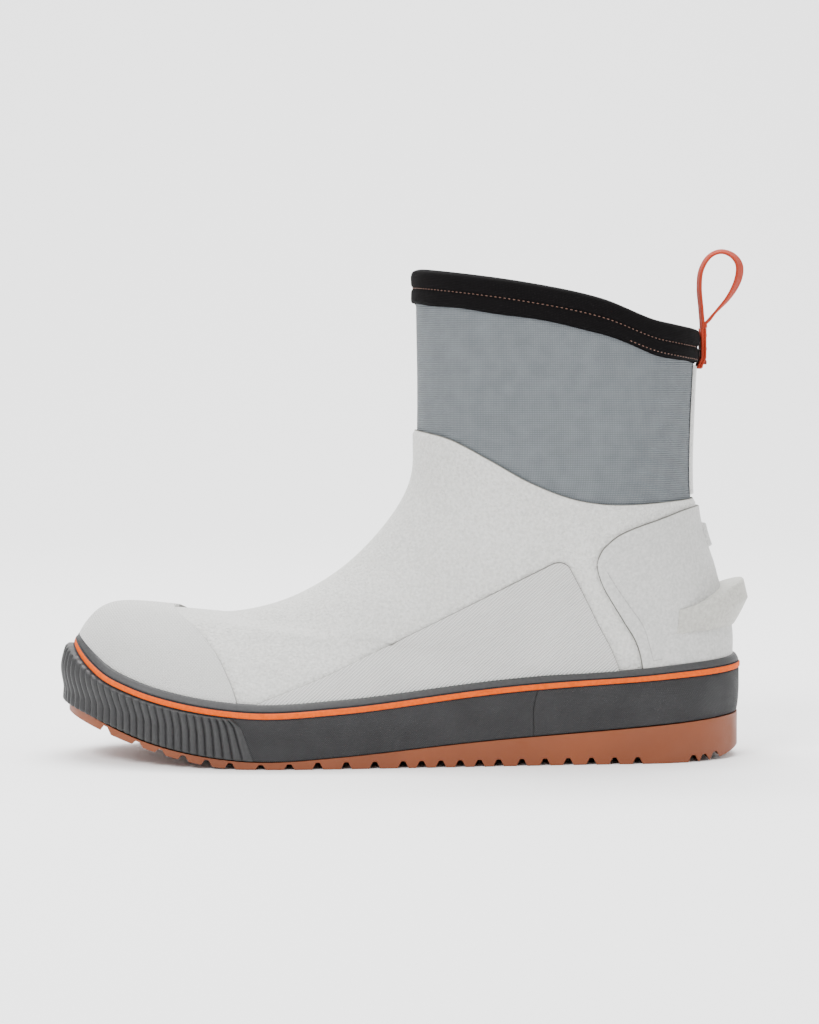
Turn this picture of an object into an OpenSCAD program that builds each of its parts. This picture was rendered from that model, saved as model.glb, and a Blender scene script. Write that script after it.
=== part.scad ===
// Pull-on ankle deck boot, left foot: vulcanised rubber lower on a neoprene bootie, gum outsole.
// Frame: toe towards -X, heel towards +X, outer (lateral) side towards -Y, +Z up, floor at z = 0.

/* [Last] */
// Length of the upper along the edge of the sole
last_l = 288; // [240:1:350]
// Width of the upper across the ball
last_w = 97; // [80:1:120]
// Height of the front of the collar above the floor
boot_h = 216; // [180:1:330]
// How far the toe of the last springs off the floor
toe_spring = 20; // [10:1:26]
// How far the heel of the last sits above the ball
heel_lift = 9; // [4:1:14]

/* [Upper layers] */
// Thickness of the laid-up rubber shell
rubber_t = 1.4; // [1:0.1:2.2]
// Thickness of the neoprene bootie
neoprene_t = 4; // [3:0.1:5]
// Thickness of the knit lining
lining_t = 0.8; // [0.5:0.1:1.2]
// Thickness of the toe puff and the heel stiffener
stiffener_t = 0.9; // [0.6:0.1:1.2]
// Thickness of the rubber overlays
overlay_t = 1.2; // [0.8:0.1:1.8]
// Cement film between two bonded layers
bond = 0.3; // [0.25:0.05:0.4]

/* [Sole] */
// Depth of the tread
lug_h = 3; // [2.4:0.1:4]
// Thickness of the outsole web above the tread at the ball
web_t = 3.5; // [2.5:0.1:4.5]
// Thickness of the midsole at the ball
midsole_t = 4; // [3:0.1:6]
// Thickness of the insole board
board_t = 2; // [1.5:0.1:3]
// Thickness of the removable footbed
footbed_t = 5; // [3:0.1:7]
// Clearance round the footbed
footbed_gap = 1.2; // [0.8:0.1:2]
// Height of the foxing band
foxing_h = 24.6; // [20:0.1:28]
// Thickness of the foxing band
foxing_t = 4.2; // [3:0.1:5.5]
// Height of the bevelled strip over the pinstripe
top_strip_h = 2.7; // [2:0.1:4]
// Height of the pinstripe
pinstripe_h = 2.5; // [1.5:0.1:3.5]
// Thickness that the toe bumper adds to the foxing
bumper_t = 1.4; // [0.8:0.1:2.5]
// Length of the toe bumper's sides, as a part of the sole's length
bumper_reach = 0.265; // [0.15:0.005:0.32]
// Ribs round the toe bumper
rib_count = 58; // [20:1:70]
// Width of the mouth of a tread groove
groove_w = 4.8; // [4:0.1:6]

/* [Collar and pull loop] */
// Height of the collar binding
binding_h = 13; // [10:0.5:18]
// Thickness of the binding over the neoprene
binding_t = 1.5; // [1:0.1:2.5]
// Length of one stitch in the binding
stitch_l = 1.2; // [0.8:0.1:1.8]
// Width of the pull loop's webbing
webbing_w = 11; // [8:0.5:18]
// Thickness of the webbing
webbing_t = 1.2; // [0.8:0.1:2]
// Free height of the pull loop
loop_h = 34; // [30:1:60]
// Width of the pull loop's eye
loop_w = 18; // [12:0.5:24]
// How far the kick-off lug stands out
kick_out = 10; // [5:0.5:12]
// Height of the kick-off lug
kick_h = 17; // [14:0.5:24]

/* [Hidden] */

rubber_grey = [0.80, 0.80, 0.78];
foxing_grey = [0.33, 0.33, 0.34];
orange = [0.93, 0.43, 0.20];

// ---- The last: eleven sections, from the edge of the sole to above the collar ----
// Each row: front point x, z; back point x, z (above the ball); then half breadths, each divided by
// the sine of its station's angle, at 0, 30, 60, 90, 120, 150 and 180 degrees from front to back.
LAST = [
  [-146.0,  20.0, 144.6,   9.0, 70, 59, 54.0, 43.0, 40.5, 54, 66],
  [-147.7,  32.0, 145.0,  11.5, 73, 62, 56.0, 45.0, 41.5, 56, 67],
  [-142.3,  47.2, 145.3,  14.0, 66, 53, 47.5, 44.0, 42.3, 56, 67],
  [-129.8,  56.4, 145.4,  16.5, 42, 35, 38.0, 41.5, 42.4, 55, 66],
  [-104.0,  55.4, 145.5,  19.5, 25, 25, 38.5, 41.0, 42.0, 54, 65],
  [ -76.0,  53.7, 145.5,  25.0, 30, 36, 43.0, 40.5, 41.3, 52, 63],
  [ -47.0,  61.7, 145.6,  35.0, 44, 45, 43.5, 39.5, 40.2, 48, 60],
  [ -20.5,  80.0, 144.9,  49.0, 42, 41, 41.5, 38.8, 38.5, 41, 50],
  [   0.5, 108.0, 138.0,  72.0, 40, 40, 40.5, 39.8, 38.5, 37, 39],
  [   3.3, 139.0, 129.6, 109.0, 43, 43, 43.5, 43.5, 42.5, 41, 41],
  [   2.3, 222.0, 132.4, 198.0, 46, 46, 47.0, 47.0, 46.5, 45, 44]];
LAST_L = 288;
LAST_W = 97;
LAST_H = 205;
TOE_SPRING = 20;
HEEL_LIFT = 9;
BALL_S = 0.38;
TOP_V = len(LAST) - 1;

stack = lug_h + web_t + midsole_t;
kx = last_l / LAST_L;
ky = last_w / LAST_W;
kz = (boot_h - stack) / LAST_H;
layers_t = rubber_t + bond + neoprene_t + bond + lining_t;
neoprene_d = -rubber_t - bond;
lining_d = neoprene_d - neoprene_t - bond;

function clamp01(t) = min(1, max(0, t));
function smooth(t) = let (c = clamp01(t)) c * c * (3 - 2 * c);
function bell(t) = exp(-t * t);
function mix(a, b, t) = a + (b - a) * t;
function unit(p) = p / norm(p);

// A smooth curve through the rows of a list, at t from 0 to its last index.
function curve(rows, t) =
  let (n = len(rows) - 1, c = min(n, max(0, t)), i = min(n - 1, floor(c)), f = c - i,
       p1 = rows[i], p2 = rows[i + 1],
       p0 = i > 0 ? rows[i - 1] : 2 * p1 - p2,
       p3 = i + 2 <= n ? rows[i + 2] : 2 * p2 - p1)
  0.5 * (2 * p1 + (p2 - p0) * f + (2 * p0 - 5 * p1 + 4 * p2 - p3) * f * f
         + (3 * p1 - p0 - 3 * p2 + p3) * f * f * f);

// A smooth height over points [x, z] whose x need not be evenly spaced.
function over(points, x, i = 0) =
  i >= len(points) - 2 || x < points[i + 1][0]
  ? let (a = points[i], b = points[i + 1], w = b[0] - a[0], f = clamp01((x - a[0]) / w),
         ma = i > 0 ? (b[1] - points[i - 1][1]) / (b[0] - points[i - 1][0]) : (b[1] - a[1]) / w,
         mb = i + 2 < len(points) ? (points[i + 2][1] - a[1]) / (points[i + 2][0] - a[0])
                                  : (b[1] - a[1]) / w)
    (2 * f * f * f - 3 * f * f + 1) * a[1] + (f * f * f - 2 * f * f + f) * w * ma
    + (3 * f * f - 2 * f * f * f) * b[1] + (f * f * f - f * f) * w * mb
  : over(points, x, i + 1);

// The sole's rocker: how high its edge lies over the ball, at s from toe (0) to heel (1).
function rocker(s, spring = TOE_SPRING, lift = HEEL_LIFT) =
  spring * pow(max(0, 1 - s / BALL_S), 2) + lift * smooth((s - BALL_S) / (0.85 - BALL_S));

// How much of the rocker's shape a section at v keeps: all at the sole, none over the toe.
function rocker_share(v) = pow(max(0, 1 - v / 3.5), 1.3);

function section_z(row, v, s) =
  (mix(row[1], row[3], s)
   + rocker_share(v) * (rocker(s) - mix(TOE_SPRING, HEEL_LIFT, s))) * kz
  + stack + rocker_share(v / 1.6)
    * (rocker(s, toe_spring - TOE_SPRING * kz, heel_lift - HEEL_LIFT * kz));

// A point of the last's outside: v is the section and a the angle from the toe, 0 to 360 degrees.
// Angles to 180 run down the outer side, and the rest come back along the arch side.
function last_point(v, a) =
  let (row = curve(LAST, v), s = (1 - cos(a)) / 2, inner = sin(a) < 0,
       foot = pow(clamp01(1 - v / 8), 1.5),
       breadth = curve([for (k = [4:10]) row[k]], abs((a + 180) % 360 - 180) / 30),
       arch = inner ? 1 - foot * (0.25 * bell((s - 0.55) / 0.16) - 0.02 * bell((s - 0.22) / 0.1)) : 1,
       swing = 5 * foot * pow(max(0, 1 - s / 0.42), 2))
  [mix(row[0], row[2], s) * kx, (swing - sin(a) * breadth * arch) * ky, section_z(row, v, s)];

function last_normal(v, a) =
  let (u = min(TOP_V - 0.02, max(0.02, v)),
       along = last_point(u, a + 1) - last_point(u, a - 1),
       up = last_point(u + 0.02, a) - last_point(u - 0.02, a))
  unit(cross(along, up));

// The last's surface moved out by d.
function skin(v, a, d) = last_point(v, a) + d * last_normal(v, a);

// The section at which the column at angle a reaches height z, or a line z(x) given as points.
function v_at(a, z, lo = 0, hi = TOP_V, n = 22) =
  n == 0 ? (lo + hi) / 2
  : let (m = (lo + hi) / 2, row = curve(LAST, m), s = (1 - cos(a)) / 2,
         want = is_list(z) ? over(z, mix(row[0], row[2], s) * kx) : z)
    section_z(row, m, s) > want ? v_at(a, z, lo, m, n - 1) : v_at(a, z, m, hi, n - 1);

// Lines seen from the side, as [x, z] points: z over the ball, both in the last's own size.
function placed(points) = [for (p = points) [p[0] * kx, p[1] * kz + stack]];
rubber_edge = placed([[2, 135], [18, 131], [35, 122.3], [53, 112.4], [73, 105], [93, 102.6], [130, 104.5]]);
topline = placed([[2, 204], [50, 197.2], [84, 190.4], [108, 181.8], [120, 179.4], [132, 177.6]]);

// ---- Solids: columns of points on two faces, joined into one closed skin ----
// outer and inner are lists of columns with the same number of points. A closed wrap meets itself.
module wrap(outer, inner, closed = true) {
  n = len(outer);
  m = len(outer[0]);
  last = closed ? n : n - 1;
  points = [for (j = [0:n - 1]) each concat(outer[j], inner[j])];
  function o(j, i) = (j % n) * 2 * m + i;
  function q(j, i) = (j % n) * 2 * m + m + i;
  sides = [for (j = [0:last - 1], i = [0:m - 2]) each [
    [o(j, i), o(j, i + 1), o(j + 1, i + 1)], [o(j, i), o(j + 1, i + 1), o(j + 1, i)],
    [q(j, i), q(j + 1, i + 1), q(j, i + 1)], [q(j, i), q(j + 1, i), q(j + 1, i + 1)]]];
  rims = [for (j = [0:last - 1]) each [
    [o(j, m - 1), q(j, m - 1), q(j + 1, m - 1)], [o(j, m - 1), q(j + 1, m - 1), o(j + 1, m - 1)],
    [o(j, 0), q(j + 1, 0), q(j, 0)], [o(j, 0), o(j + 1, 0), q(j + 1, 0)]]];
  ends = closed ? [] : [for (i = [0:m - 2]) each [
    [o(0, i), q(0, i + 1), o(0, i + 1)], [o(0, i), q(0, i), q(0, i + 1)],
    [o(n - 1, i), o(n - 1, i + 1), q(n - 1, i + 1)], [o(n - 1, i), q(n - 1, i + 1), q(n - 1, i)]]];
  polyhedron(points = points, faces = concat(sides, rims, ends));
}

// ---- The sole's outline and edges ----
function plan_normal(a) =
  let (t = last_point(0, a + 1) - last_point(0, a - 1)) unit([t[1], -t[0], 0]);

// A point of the sole's wall at angle a and height z, moved out level by d.
function wall(a, z, d) =
  let (v = v_at(a, z), p = last_point(v, a)) [p[0], p[1], z] + d * plan_normal(a);

function sole_s(a) = (1 - cos(a)) / 2;
function feather_z(a) = last_point(0, a)[2];

// Height of the lower edge of the foxing, from toe (0) to heel (1), over the tread and web.
edge_line = [[0, 25], [0.13, 10], [0.27, 3.6], [0.4, 5.2], [0.6, 10.9], [0.8, 15.2], [1, 20]];
function edge_z(s) = over(edge_line, s) * (lug_h + web_t) / 6.5
  + (toe_spring - TOE_SPRING) * pow(max(0, 1 - s / 0.25), 2);
function foxing_top(s) = edge_z(s) + foxing_h + 7 * pow(max(0, 1 - s / 0.08), 2)
  + 1.8 * smooth((s - 0.4) / 0.3) - 0.8 * smooth((s - 0.85) / 0.15);
function floor_z(s) = (edge_z(0) - 4.5) * pow(max(0, 1 - s / 0.26), 1.6) + 5 * pow(max(0, (s - 0.93) / 0.07), 2);

sole_front = last_point(0, 0)[0] - foxing_t;
sole_back = last_point(0, 180)[0] + foxing_t;
function s_of_x(x) = clamp01((x - sole_front) / (sole_back - sole_front));

// ---- The shared grid: every layer of the upper has its corners on these columns and rows ----
count = 54;
step = 360 / count;
fox_row = 3;
edge_row = 15;
top_row = 19;
v_fox = [for (j = [0:count - 1]) v_at(j * step, foxing_top(sole_s(j * step)) + bond)];
v_edge = [for (j = [0:count - 1]) v_at(j * step, rubber_edge)];
v_top = [for (j = [0:count - 1]) v_at(j * step, topline)];

function grid_v(j, i) =
  i <= fox_row ? v_fox[j] * i / fox_row
  : i <= edge_row ? mix(v_fox[j], v_edge[j], pow((i - fox_row) / (edge_row - fox_row), 1.3))
  : mix(v_edge[j], v_top[j], (i - edge_row) / (top_row - edge_row));
grid_points = [for (j = [0:count - 1]) [for (i = [0:top_row]) last_point(grid_v(j, i), j * step)]];
grid_normals = [for (j = [0:count - 1]) [for (i = [0:top_row]) last_normal(grid_v(j, i), j * step)]];

// The corner of column j and row i, moved out by d.
function corner(j, i, d) = let (k = (j + count) % count) grid_points[k][i] + d * grid_normals[k][i];

// A layer over columns j0 to j1 and rows i0 to i1. All of the columns make a closed ring.
module layer(cols, rows, d_out, d_in) {
  all_round = cols[1] - cols[0] >= count - 1;
  wrap([for (j = [cols[0]:cols[1]]) [for (i = [rows[0]:rows[1]]) corner(j, i, d_out)]],
       [for (j = [cols[0]:cols[1]]) [for (i = [rows[0]:rows[1]]) corner(j, i, d_in)]], all_round);
}

// Angles from a0 to a1 that keep to the grid's columns in between.
function angles(a0, a1) =
  concat([a0], [for (j = [ceil(a0 / step):floor(a1 / step)])
                if (j * step > a0 + 0.6 && j * step < a1 - 0.6) j * step], [a1]);

// A band round the sole's wall. Its section is a list of [height share, outward] at each face.
module band(list, z_low, z_high, outside, inside, closed = false) {
  wrap([for (a = list) [for (p = outside) wall(a, mix(z_low(sole_s(a)), z_high(sole_s(a)), p[0]), p[1])]],
       [for (a = list) [for (p = inside) wall(a, mix(z_low(sole_s(a)), z_high(sole_s(a)), p[0]), p[1])]],
       closed);
}

// A prism along Y over an outline seen from the side.
module side_prism(outline) rotate([90, 0, 0]) linear_extrude(height = 400, center = true) polygon(outline);

// The sole's outline seen from above, moved out by d.
function plan(d) = [for (j = [0:count - 1]) let (p = wall(j * step, 0, d)) [p[0], p[1]]];

// A plate with a level outline between two lines of height along the sole.
module plate(outline, x0, x1, low, high, n = 40) {
  xs = [for (i = [0:n]) mix(x0, x1, i / n)];
  intersection() {
    linear_extrude(height = 90) polygon(outline);
    side_prism(concat([for (x = xs) [x, low(x)]], [for (i = [n:-1:0]) [xs[i], high(xs[i])]]));
  }
}

// ---- Where the model stands: the middle of its outline is over the origin ----
stripe_d = foxing_t + 0.3;
stripe_t = 0.6;
bumper_d = foxing_t + 0.7;
lug_d = 2 * bond + overlay_t;
lug_z = stack + 48 * kz;
lug_peak = 0.5;
function foxing_lip(s) = foxing_top(s) - top_strip_h - bond;
toe_reach = min([for (i = [0:10]) wall(0, mix(edge_z(0), foxing_lip(0) - pinstripe_h, i / 10), bumper_d + bumper_t)[0]]);
lug_back = skin(v_at(180, lug_z + kick_h * lug_peak), 180, lug_d + kick_out + 0.5)[0];
stripe_sides = [for (a = [0:3:357]) wall(a, foxing_lip(sole_s(a)) - 0.4 - pinstripe_h / 2, stripe_d + stripe_t)[1]];
shift_x = -(toe_reach + lug_back) / 2;
shift_y = -(min(stripe_sides) + max(stripe_sides)) / 2;
module placed_part() translate([shift_x, shift_y, 0]) children();

// ---- Sole pieces ----
last_x0 = last_point(0, 0)[0];
last_x1 = last_point(0, 180)[0];
function last_s(x) = clamp01((x - last_x0) / (last_x1 - last_x0));
last_base = curve(LAST, 0);
function feather(x) = section_z(last_base, 0, last_s(x));
// The web runs up behind the foxing at the toe and ball, and ends level with its edge at the heel.
function web_top(x) = let (s = s_of_x(x)) edge_z(s) + web_t * (1 - smooth((s - 0.35) / 0.25));
foxing_gap = bond + 0.2;
outsole_d = foxing_t + 0.5;
plug_d = -9;
plug_x0 = mix(last_x0, last_x1, 0.52);
plug_x1 = mix(last_x0, last_x1, 0.955);
plug_floor = lug_h + web_t + 1;
channel_d = [-6, -10];
shank_w = 20;
shank_t = 1.6;
shank_x0 = mix(last_x0, last_x1, 0.36);
shank_x1 = mix(last_x0, last_x1, 0.8);
board_d = -layers_t - bond - 0.4;
footbed_d = -layers_t - footbed_gap;

// Tread grooves: first groove, spacing and how many, over each zone of the sole.
GROOVE_ZONES = [[-132, 12, 1], [-117.5, 10.2, 5], [-63.5, 12.3, 6], [6, 8.4, 5], [49.8, 10.2, 6], [126, 5.1, 3]];
grooves = [for (z = GROOVE_ZONES) for (i = [0:z[2] - 1]) (z[0] + i * z[1]) * kx];
groove_taper = 1.5;

function underside(x) = floor_z(s_of_x(x));
module groove(x) {
  h = groove_w / 2;
  z = underside(x) + lug_h;
  polygon([[x - h - 0.4, underside(x - h) - 1], [x - h, underside(x - h)], [x - h + groove_taper, z],
           [x + h - groove_taper, z], [x + h, underside(x + h)], [x + h + 0.4, underside(x + h) - 1]]);
}

module plug(grow) {
  intersection() {
    linear_extrude(height = 60) polygon(plan(plug_d + grow));
    translate([plug_x0 - grow, -100, plug_floor - grow]) cube([plug_x1 - plug_x0 + 2 * grow, 200, 40]);
  }
}

module outsole() color([0.62, 0.40, 0.27]) placed_part() difference() {
  union() {
    plate(plan(outsole_d), sole_front - 1, sole_back + 1, function(x) underside(x),
          function(x) edge_z(s_of_x(x)) - bond);
    plate(plan(-0.2), last_x0 - 5, last_x1 + 5, function(x) underside(x), function(x) web_top(x) - bond);
  }
  rotate([90, 0, 0]) linear_extrude(height = 300, center = true) for (x = grooves) groove(x);
  intersection() {
    linear_extrude(height = 40) difference() {
      polygon(plan(channel_d[0]));
      polygon(plan(channel_d[1]));
    }
    side_prism(concat([for (i = [0:40]) let (x = mix(last_x0, last_x1, i / 40)) [x, underside(x) - 1]],
                      [for (i = [40:-1:0]) let (x = mix(last_x0, last_x1, i / 40))
                       [x, underside(x) + lug_h - 0.5]]));
  }
  plug(bond);
}

// The midsole stops short of the heel's end, where it would thin out to nothing.
midsole_stop = 10;
module midsole() color([0.86, 0.82, 0.72]) placed_part() difference() {
  union() {
    plate(plan(-0.2), last_x0 - 5, last_x1 + 5, function(x) web_top(x), function(x) feather(x) - bond);
    intersection() {
      plug(0);
      side_prism(concat([for (i = [0:40]) let (x = mix(last_x0, last_x1, i / 40)) [x, feather(x) - bond]],
                        [[last_x1, 0], [last_x0, 0]]));
    }
  }
  translate([last_x1 - midsole_stop, -100, 0]) cube([20, 200, 60]);
  plate([[shank_x0 - bond, -shank_w / 2 - bond], [shank_x1 + bond, -shank_w / 2 - bond],
         [shank_x1 + bond, shank_w / 2 + bond], [shank_x0 - bond, shank_w / 2 + bond]],
        shank_x0 - bond, shank_x1 + bond, function(x) feather(x) - shank_t - 2 * bond, function(x) feather(x) + 1, 16);
}

module shank() color([0.66, 0.67, 0.69]) placed_part()
  plate([[shank_x0, -shank_w / 2], [shank_x1, -shank_w / 2], [shank_x1, shank_w / 2], [shank_x0, shank_w / 2]],
        shank_x0, shank_x1, function(x) feather(x) - shank_t - bond, function(x) feather(x) - bond, 16);

module insole_board() color([0.78, 0.66, 0.46]) placed_part()
  plate(plan(board_d), last_x0, last_x1, function(x) feather(x), function(x) feather(x) + board_t);

module footbed() color([0.20, 0.22, 0.25]) placed_part()
  plate(plan(footbed_d), last_x0, last_x1,
        function(x) feather(x) + board_t + bond,
        function(x) feather(x) + board_t + bond + footbed_t + 3 * smooth((last_s(x) - 0.8) / 0.2));

// ---- Upper ----
PUFF_COLS = [-11, 11];
PUFF_ROWS = [1, 8];
STIFFENER_COLS = [20, 34];
STIFFENER_ROWS = [1, 11];
function within(j, span) = j >= span[0] && j <= span[1];
function recessed(j, i) =
  (within(j > count / 2 ? j - count : j, PUFF_COLS) && within(i, PUFF_ROWS))
  || (within(j, STIFFENER_COLS) && within(i, STIFFENER_ROWS));

module lining() color([0.16, 0.17, 0.19]) placed_part()
  layer([0, count - 1], [0, top_row], lining_d, lining_d - lining_t);

module neoprene_bootie() color([0.57, 0.59, 0.60]) placed_part()
  wrap([for (j = [0:count - 1]) [for (i = [0:top_row])
         corner(j, i, neoprene_d - (recessed(j, i) ? stiffener_t + bond : 0))]],
       [for (j = [0:count - 1]) [for (i = [0:top_row]) corner(j, i, neoprene_d - neoprene_t)]]);

module toe_puff() color([0.90, 0.88, 0.80]) placed_part()
  layer(PUFF_COLS, PUFF_ROWS, neoprene_d, neoprene_d - stiffener_t);

module heel_stiffener() color([0.90, 0.88, 0.80]) placed_part()
  layer(STIFFENER_COLS, STIFFENER_ROWS, neoprene_d, neoprene_d - stiffener_t);

module rubber_shell() color(rubber_grey) placed_part()
  layer([0, count - 1], [0, edge_row], 0, -rubber_t);

// Overlay edges seen from the side.
CAP_EDGE = placed([[-113, 62], [-109, 59], [-101, 54], [-91, 47], [-83, 38], [-78, 29], [-74, 19], [-72, 8]]);
PANEL_EDGE = placed([[-68, 6], [-68, 16.3], [-62, 18.8], [-33.7, 29.8], [0, 46], [30, 60.8], [59, 75.3], [65, 77.9],
                     [69.5, 76.8], [72.3, 72.5], [82, 53.3], [93, 29.8], [95, 12]]);
COUNTER_EDGE = placed([[170, 98], [130, 101], [109, 95.7], [93, 90], [85.5, 84], [83.1, 79.6], [82.5, 76.5],
                       [83, 73.2], [85.5, 66.5],
                       [94.5, 51.5], [100.5, 41], [103, 30], [103, 12], [170, 12]]);
overlay_d = bond + overlay_t;

module toe_cap() color([0.76, 0.76, 0.75]) placed_part() intersection() {
  layer([-13, 13], [fox_row, 11], overlay_d, bond);
  side_prism(concat([[-200, 0], [-200, 120]], [for (p = CAP_EDGE) p]));
}

module lateral_side_panel() color([0.78, 0.78, 0.77]) placed_part() intersection() {
  layer([8, 20], [fox_row, edge_row], overlay_d, bond);
  side_prism(PANEL_EDGE);
}

module medial_side_panel() color([0.78, 0.78, 0.77]) placed_part() intersection() {
  layer([count - 20, count - 8], [fox_row, edge_row], overlay_d, bond);
  side_prism(PANEL_EDGE);
}

module heel_counter() color([0.82, 0.82, 0.80]) placed_part() intersection() {
  layer([17, count - 17], [fox_row, edge_row], overlay_d, bond);
  side_prism(COUNTER_EDGE);
}

// The lug: each row is its height share and how far it stands out, as a part of its reach.
LUG_SECTION = [[0, 0.03], [0.26, 0.5], [lug_peak, 0.93], [0.74, 0.97], [0.95, 1], [1, 0.96]];
LUG_SPAN = 46.67;

module kick_off_lug() {
  list = [for (j = [20:34]) j * step];
  function fade(a) = pow(max(0, 1 - pow((a - 180) / (LUG_SPAN + 3), 2)), 1.6);
  function lug_v(a, f) = v_at(a, lug_z - 2.3 * (1 - fade(a)) + f * kick_h * mix(0.6, 1, fade(a)));
  color([0.74, 0.74, 0.70]) placed_part()
  wrap([for (a = list) [for (p = LUG_SECTION) skin(lug_v(a, p[0]), a, lug_d + 0.5 + kick_out * p[1] * fade(a))]],
       [for (a = list) [for (p = LUG_SECTION) skin(lug_v(a, p[0]), a, lug_d)]], false);
}

module heel_tab() color([0.80, 0.80, 0.78]) placed_part() {
  list = [173, 176.5, 180, 183.5, 187];
  zs = [stack + 82 * kz, stack + 87.3 * kz, stack + 92.6 * kz];
  wrap([for (a = list) [for (z = zs) skin(v_at(a, z), a, lug_d + 1.5)]],
       [for (a = list) [for (z = zs) skin(v_at(a, z), a, lug_d)]], false);
}

// The tape stands between the edge of the rubber and the binding.
tape_t = 0.9;
module backstay_tape() {
  list = [167, 173.33, 180, 186.67, 193];
  function tape_v(a, f) = mix(v_at(a, rubber_edge) + 0.02, v_at(a, topline) - (binding_h + 2) / 90 / kz, f);
  color([0.80, 0.81, 0.80]) placed_part()
  wrap([for (a = list) [for (i = [0:4]) skin(tape_v(a, i / 4), a, neoprene_d + bond + tape_t)]],
       [for (a = list) [for (i = [0:4]) skin(tape_v(a, i / 4), a, neoprene_d + bond)]], false);
}

// ---- Bands round the sole ----
splice_a = acos(1 - 2 * 0.69);
splice_gap = 0.15;
FOXING_OUT = [[0, foxing_t], [0.35, foxing_t + 0.2], [0.7, foxing_t + 0.1], [1, foxing_t - 0.3]];
FOXING_IN = [[0, foxing_gap], [0.35, foxing_gap], [0.7, foxing_gap], [1, foxing_gap]];

module front_foxing() color(foxing_grey) placed_part()
  band(angles(-splice_a, splice_a), function(s) edge_z(s), foxing_lip_f, FOXING_OUT, FOXING_IN);

module heel_foxing() color(foxing_grey) placed_part()
  band(angles(splice_a + splice_gap, 360 - splice_a - splice_gap), function(s) edge_z(s), foxing_lip_f,
       FOXING_OUT, FOXING_IN);

foxing_lip_f = function(s) foxing_lip(s);
ring = [for (j = [0:count - 1]) j * step];

module foxing_top_strip() color([0.50, 0.50, 0.50]) placed_part()
  band(ring, function(s) foxing_lip(s) + bond, function(s) foxing_top(s),
       [[0, foxing_t - 0.2], [0.6, foxing_t - 0.6], [1, foxing_t - 1.5]],
       [[0, foxing_gap], [0.5, foxing_gap], [1, foxing_gap]], true);

module pinstripe() color(orange) placed_part()
  band(ring, function(s) foxing_lip(s) - pinstripe_h - 0.4, function(s) foxing_lip(s) - 0.4,
       [[0, stripe_d + stripe_t * 0.6], [0.5, stripe_d + stripe_t], [1, stripe_d + stripe_t * 0.5]],
       [[0, stripe_d], [0.5, stripe_d], [1, stripe_d]], true);

// The bumper's sides lean back towards the floor.
rib_depth = 0.7;
module toe_bumper() {
  n = 2 * rib_count;
  levels = [0, 0.1, 0.9, 1];
  function reach(f) = acos(1 - 2 * mix(bumper_reach + 0.02, bumper_reach - 0.03, f));
  function bump_a(j, f) = mix(-reach(f), reach(f), j / n);
  function bump_z(a, f) = mix(edge_z(sole_s(a)) + 0.6, foxing_lip(sole_s(a)) - pinstripe_h - 1.9, f);
  function rise(j, f) = f == 0 || f == 1 || j == 0 || j == n ? 0.25 : j % 2 == 0 ? bumper_t - rib_depth : bumper_t;
  color([0.38, 0.38, 0.385]) placed_part()
  wrap([for (j = [0:n]) [for (f = levels) let (a = bump_a(j, f)) wall(a, bump_z(a, f), bumper_d + rise(j, f))]],
       [for (j = [0:n]) [for (f = levels) let (a = bump_a(j, f)) wall(a, bump_z(a, f), bumper_d)]], false);
}

// ---- Collar ----
rim_out = neoprene_d;
rim_in = lining_d - lining_t;
groove_drop = binding_h * 0.5;
// The binding's section: height from the edge of the neoprene, and offset from the last's surface.
BINDING_OUT = [[-binding_h, rim_out + bond + 0.4], [-binding_h * 0.93, rim_out + bond + binding_t],
               [-binding_h * 0.6, rim_out + bond + binding_t], [-groove_drop, rim_out + bond + binding_t * 0.45],
               [-binding_h * 0.4, rim_out + bond + binding_t], [-binding_h * 0.1, rim_out + bond + binding_t],
               [bond + binding_t, (rim_out + rim_in) / 2],
               [-binding_h * 0.1, rim_in - bond - binding_t], [-binding_h * 0.85, rim_in - bond - 0.5]];
BINDING_IN = [[-binding_h, rim_out + bond], [-binding_h * 0.93, rim_out + bond], [-binding_h * 0.6, rim_out + bond],
              [-groove_drop, rim_out + bond], [-binding_h * 0.4, rim_out + bond], [bond * 0.5, rim_out + bond],
              [bond, (rim_out + rim_in) / 2],
              [bond * 0.5, rim_in - bond], [-binding_h * 0.85, rim_in - bond]];

// A point by the collar at angle a, lifted from the top line by h and offset by d.
function by_collar(a, h, d) =
  let (v = v_at(a, topline), u = v - 0.2, p = last_point(v, a), q = last_point(u, a),
       n = last_normal(v, a)) p + (p - q) / (p - q)[2] * h + d * n;

module collar_binding() color([0.10, 0.09, 0.10]) placed_part()
  wrap([for (a = ring) [for (p = BINDING_OUT) by_collar(a, p[0], p[1])]],
       [for (a = ring) [for (p = BINDING_IN) by_collar(a, p[0], p[1])]]);

stitches = 160;
stitch_w = 0.5;
module collar_stitching() color([0.72, 0.40, 0.22]) placed_part()
  for (k = [0:stitches - 1]) {
    a = 360 * k / stitches;
    p = by_collar(a, -groove_drop, rim_out + bond + binding_t * 0.45 + 0.25 + stitch_w / 2);
    t = by_collar(a + 1, -groove_drop, 0) - by_collar(a - 1, -groove_drop, 0);
    if (abs(a - 180) > 12)
      translate(p) rotate([0, -atan2(t[2], norm([t[0], t[1]])), atan2(t[1], t[0])])
        cube([stitch_l, stitch_w, stitch_w], center = true);
  }

// ---- Pull loop: one length of webbing, sewn down at its ends and free above them ----
back_top = by_collar(180, 0, rim_out + bond + binding_t);
fold_r = webbing_t;
pivot = [back_top[0] + 2 * bond + fold_r, 0, back_top[2] + binding_t + 2];
anchor_top = pivot[2] - fold_r - bond;
anchor_low = back_top[2] - binding_h - 3;

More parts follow.
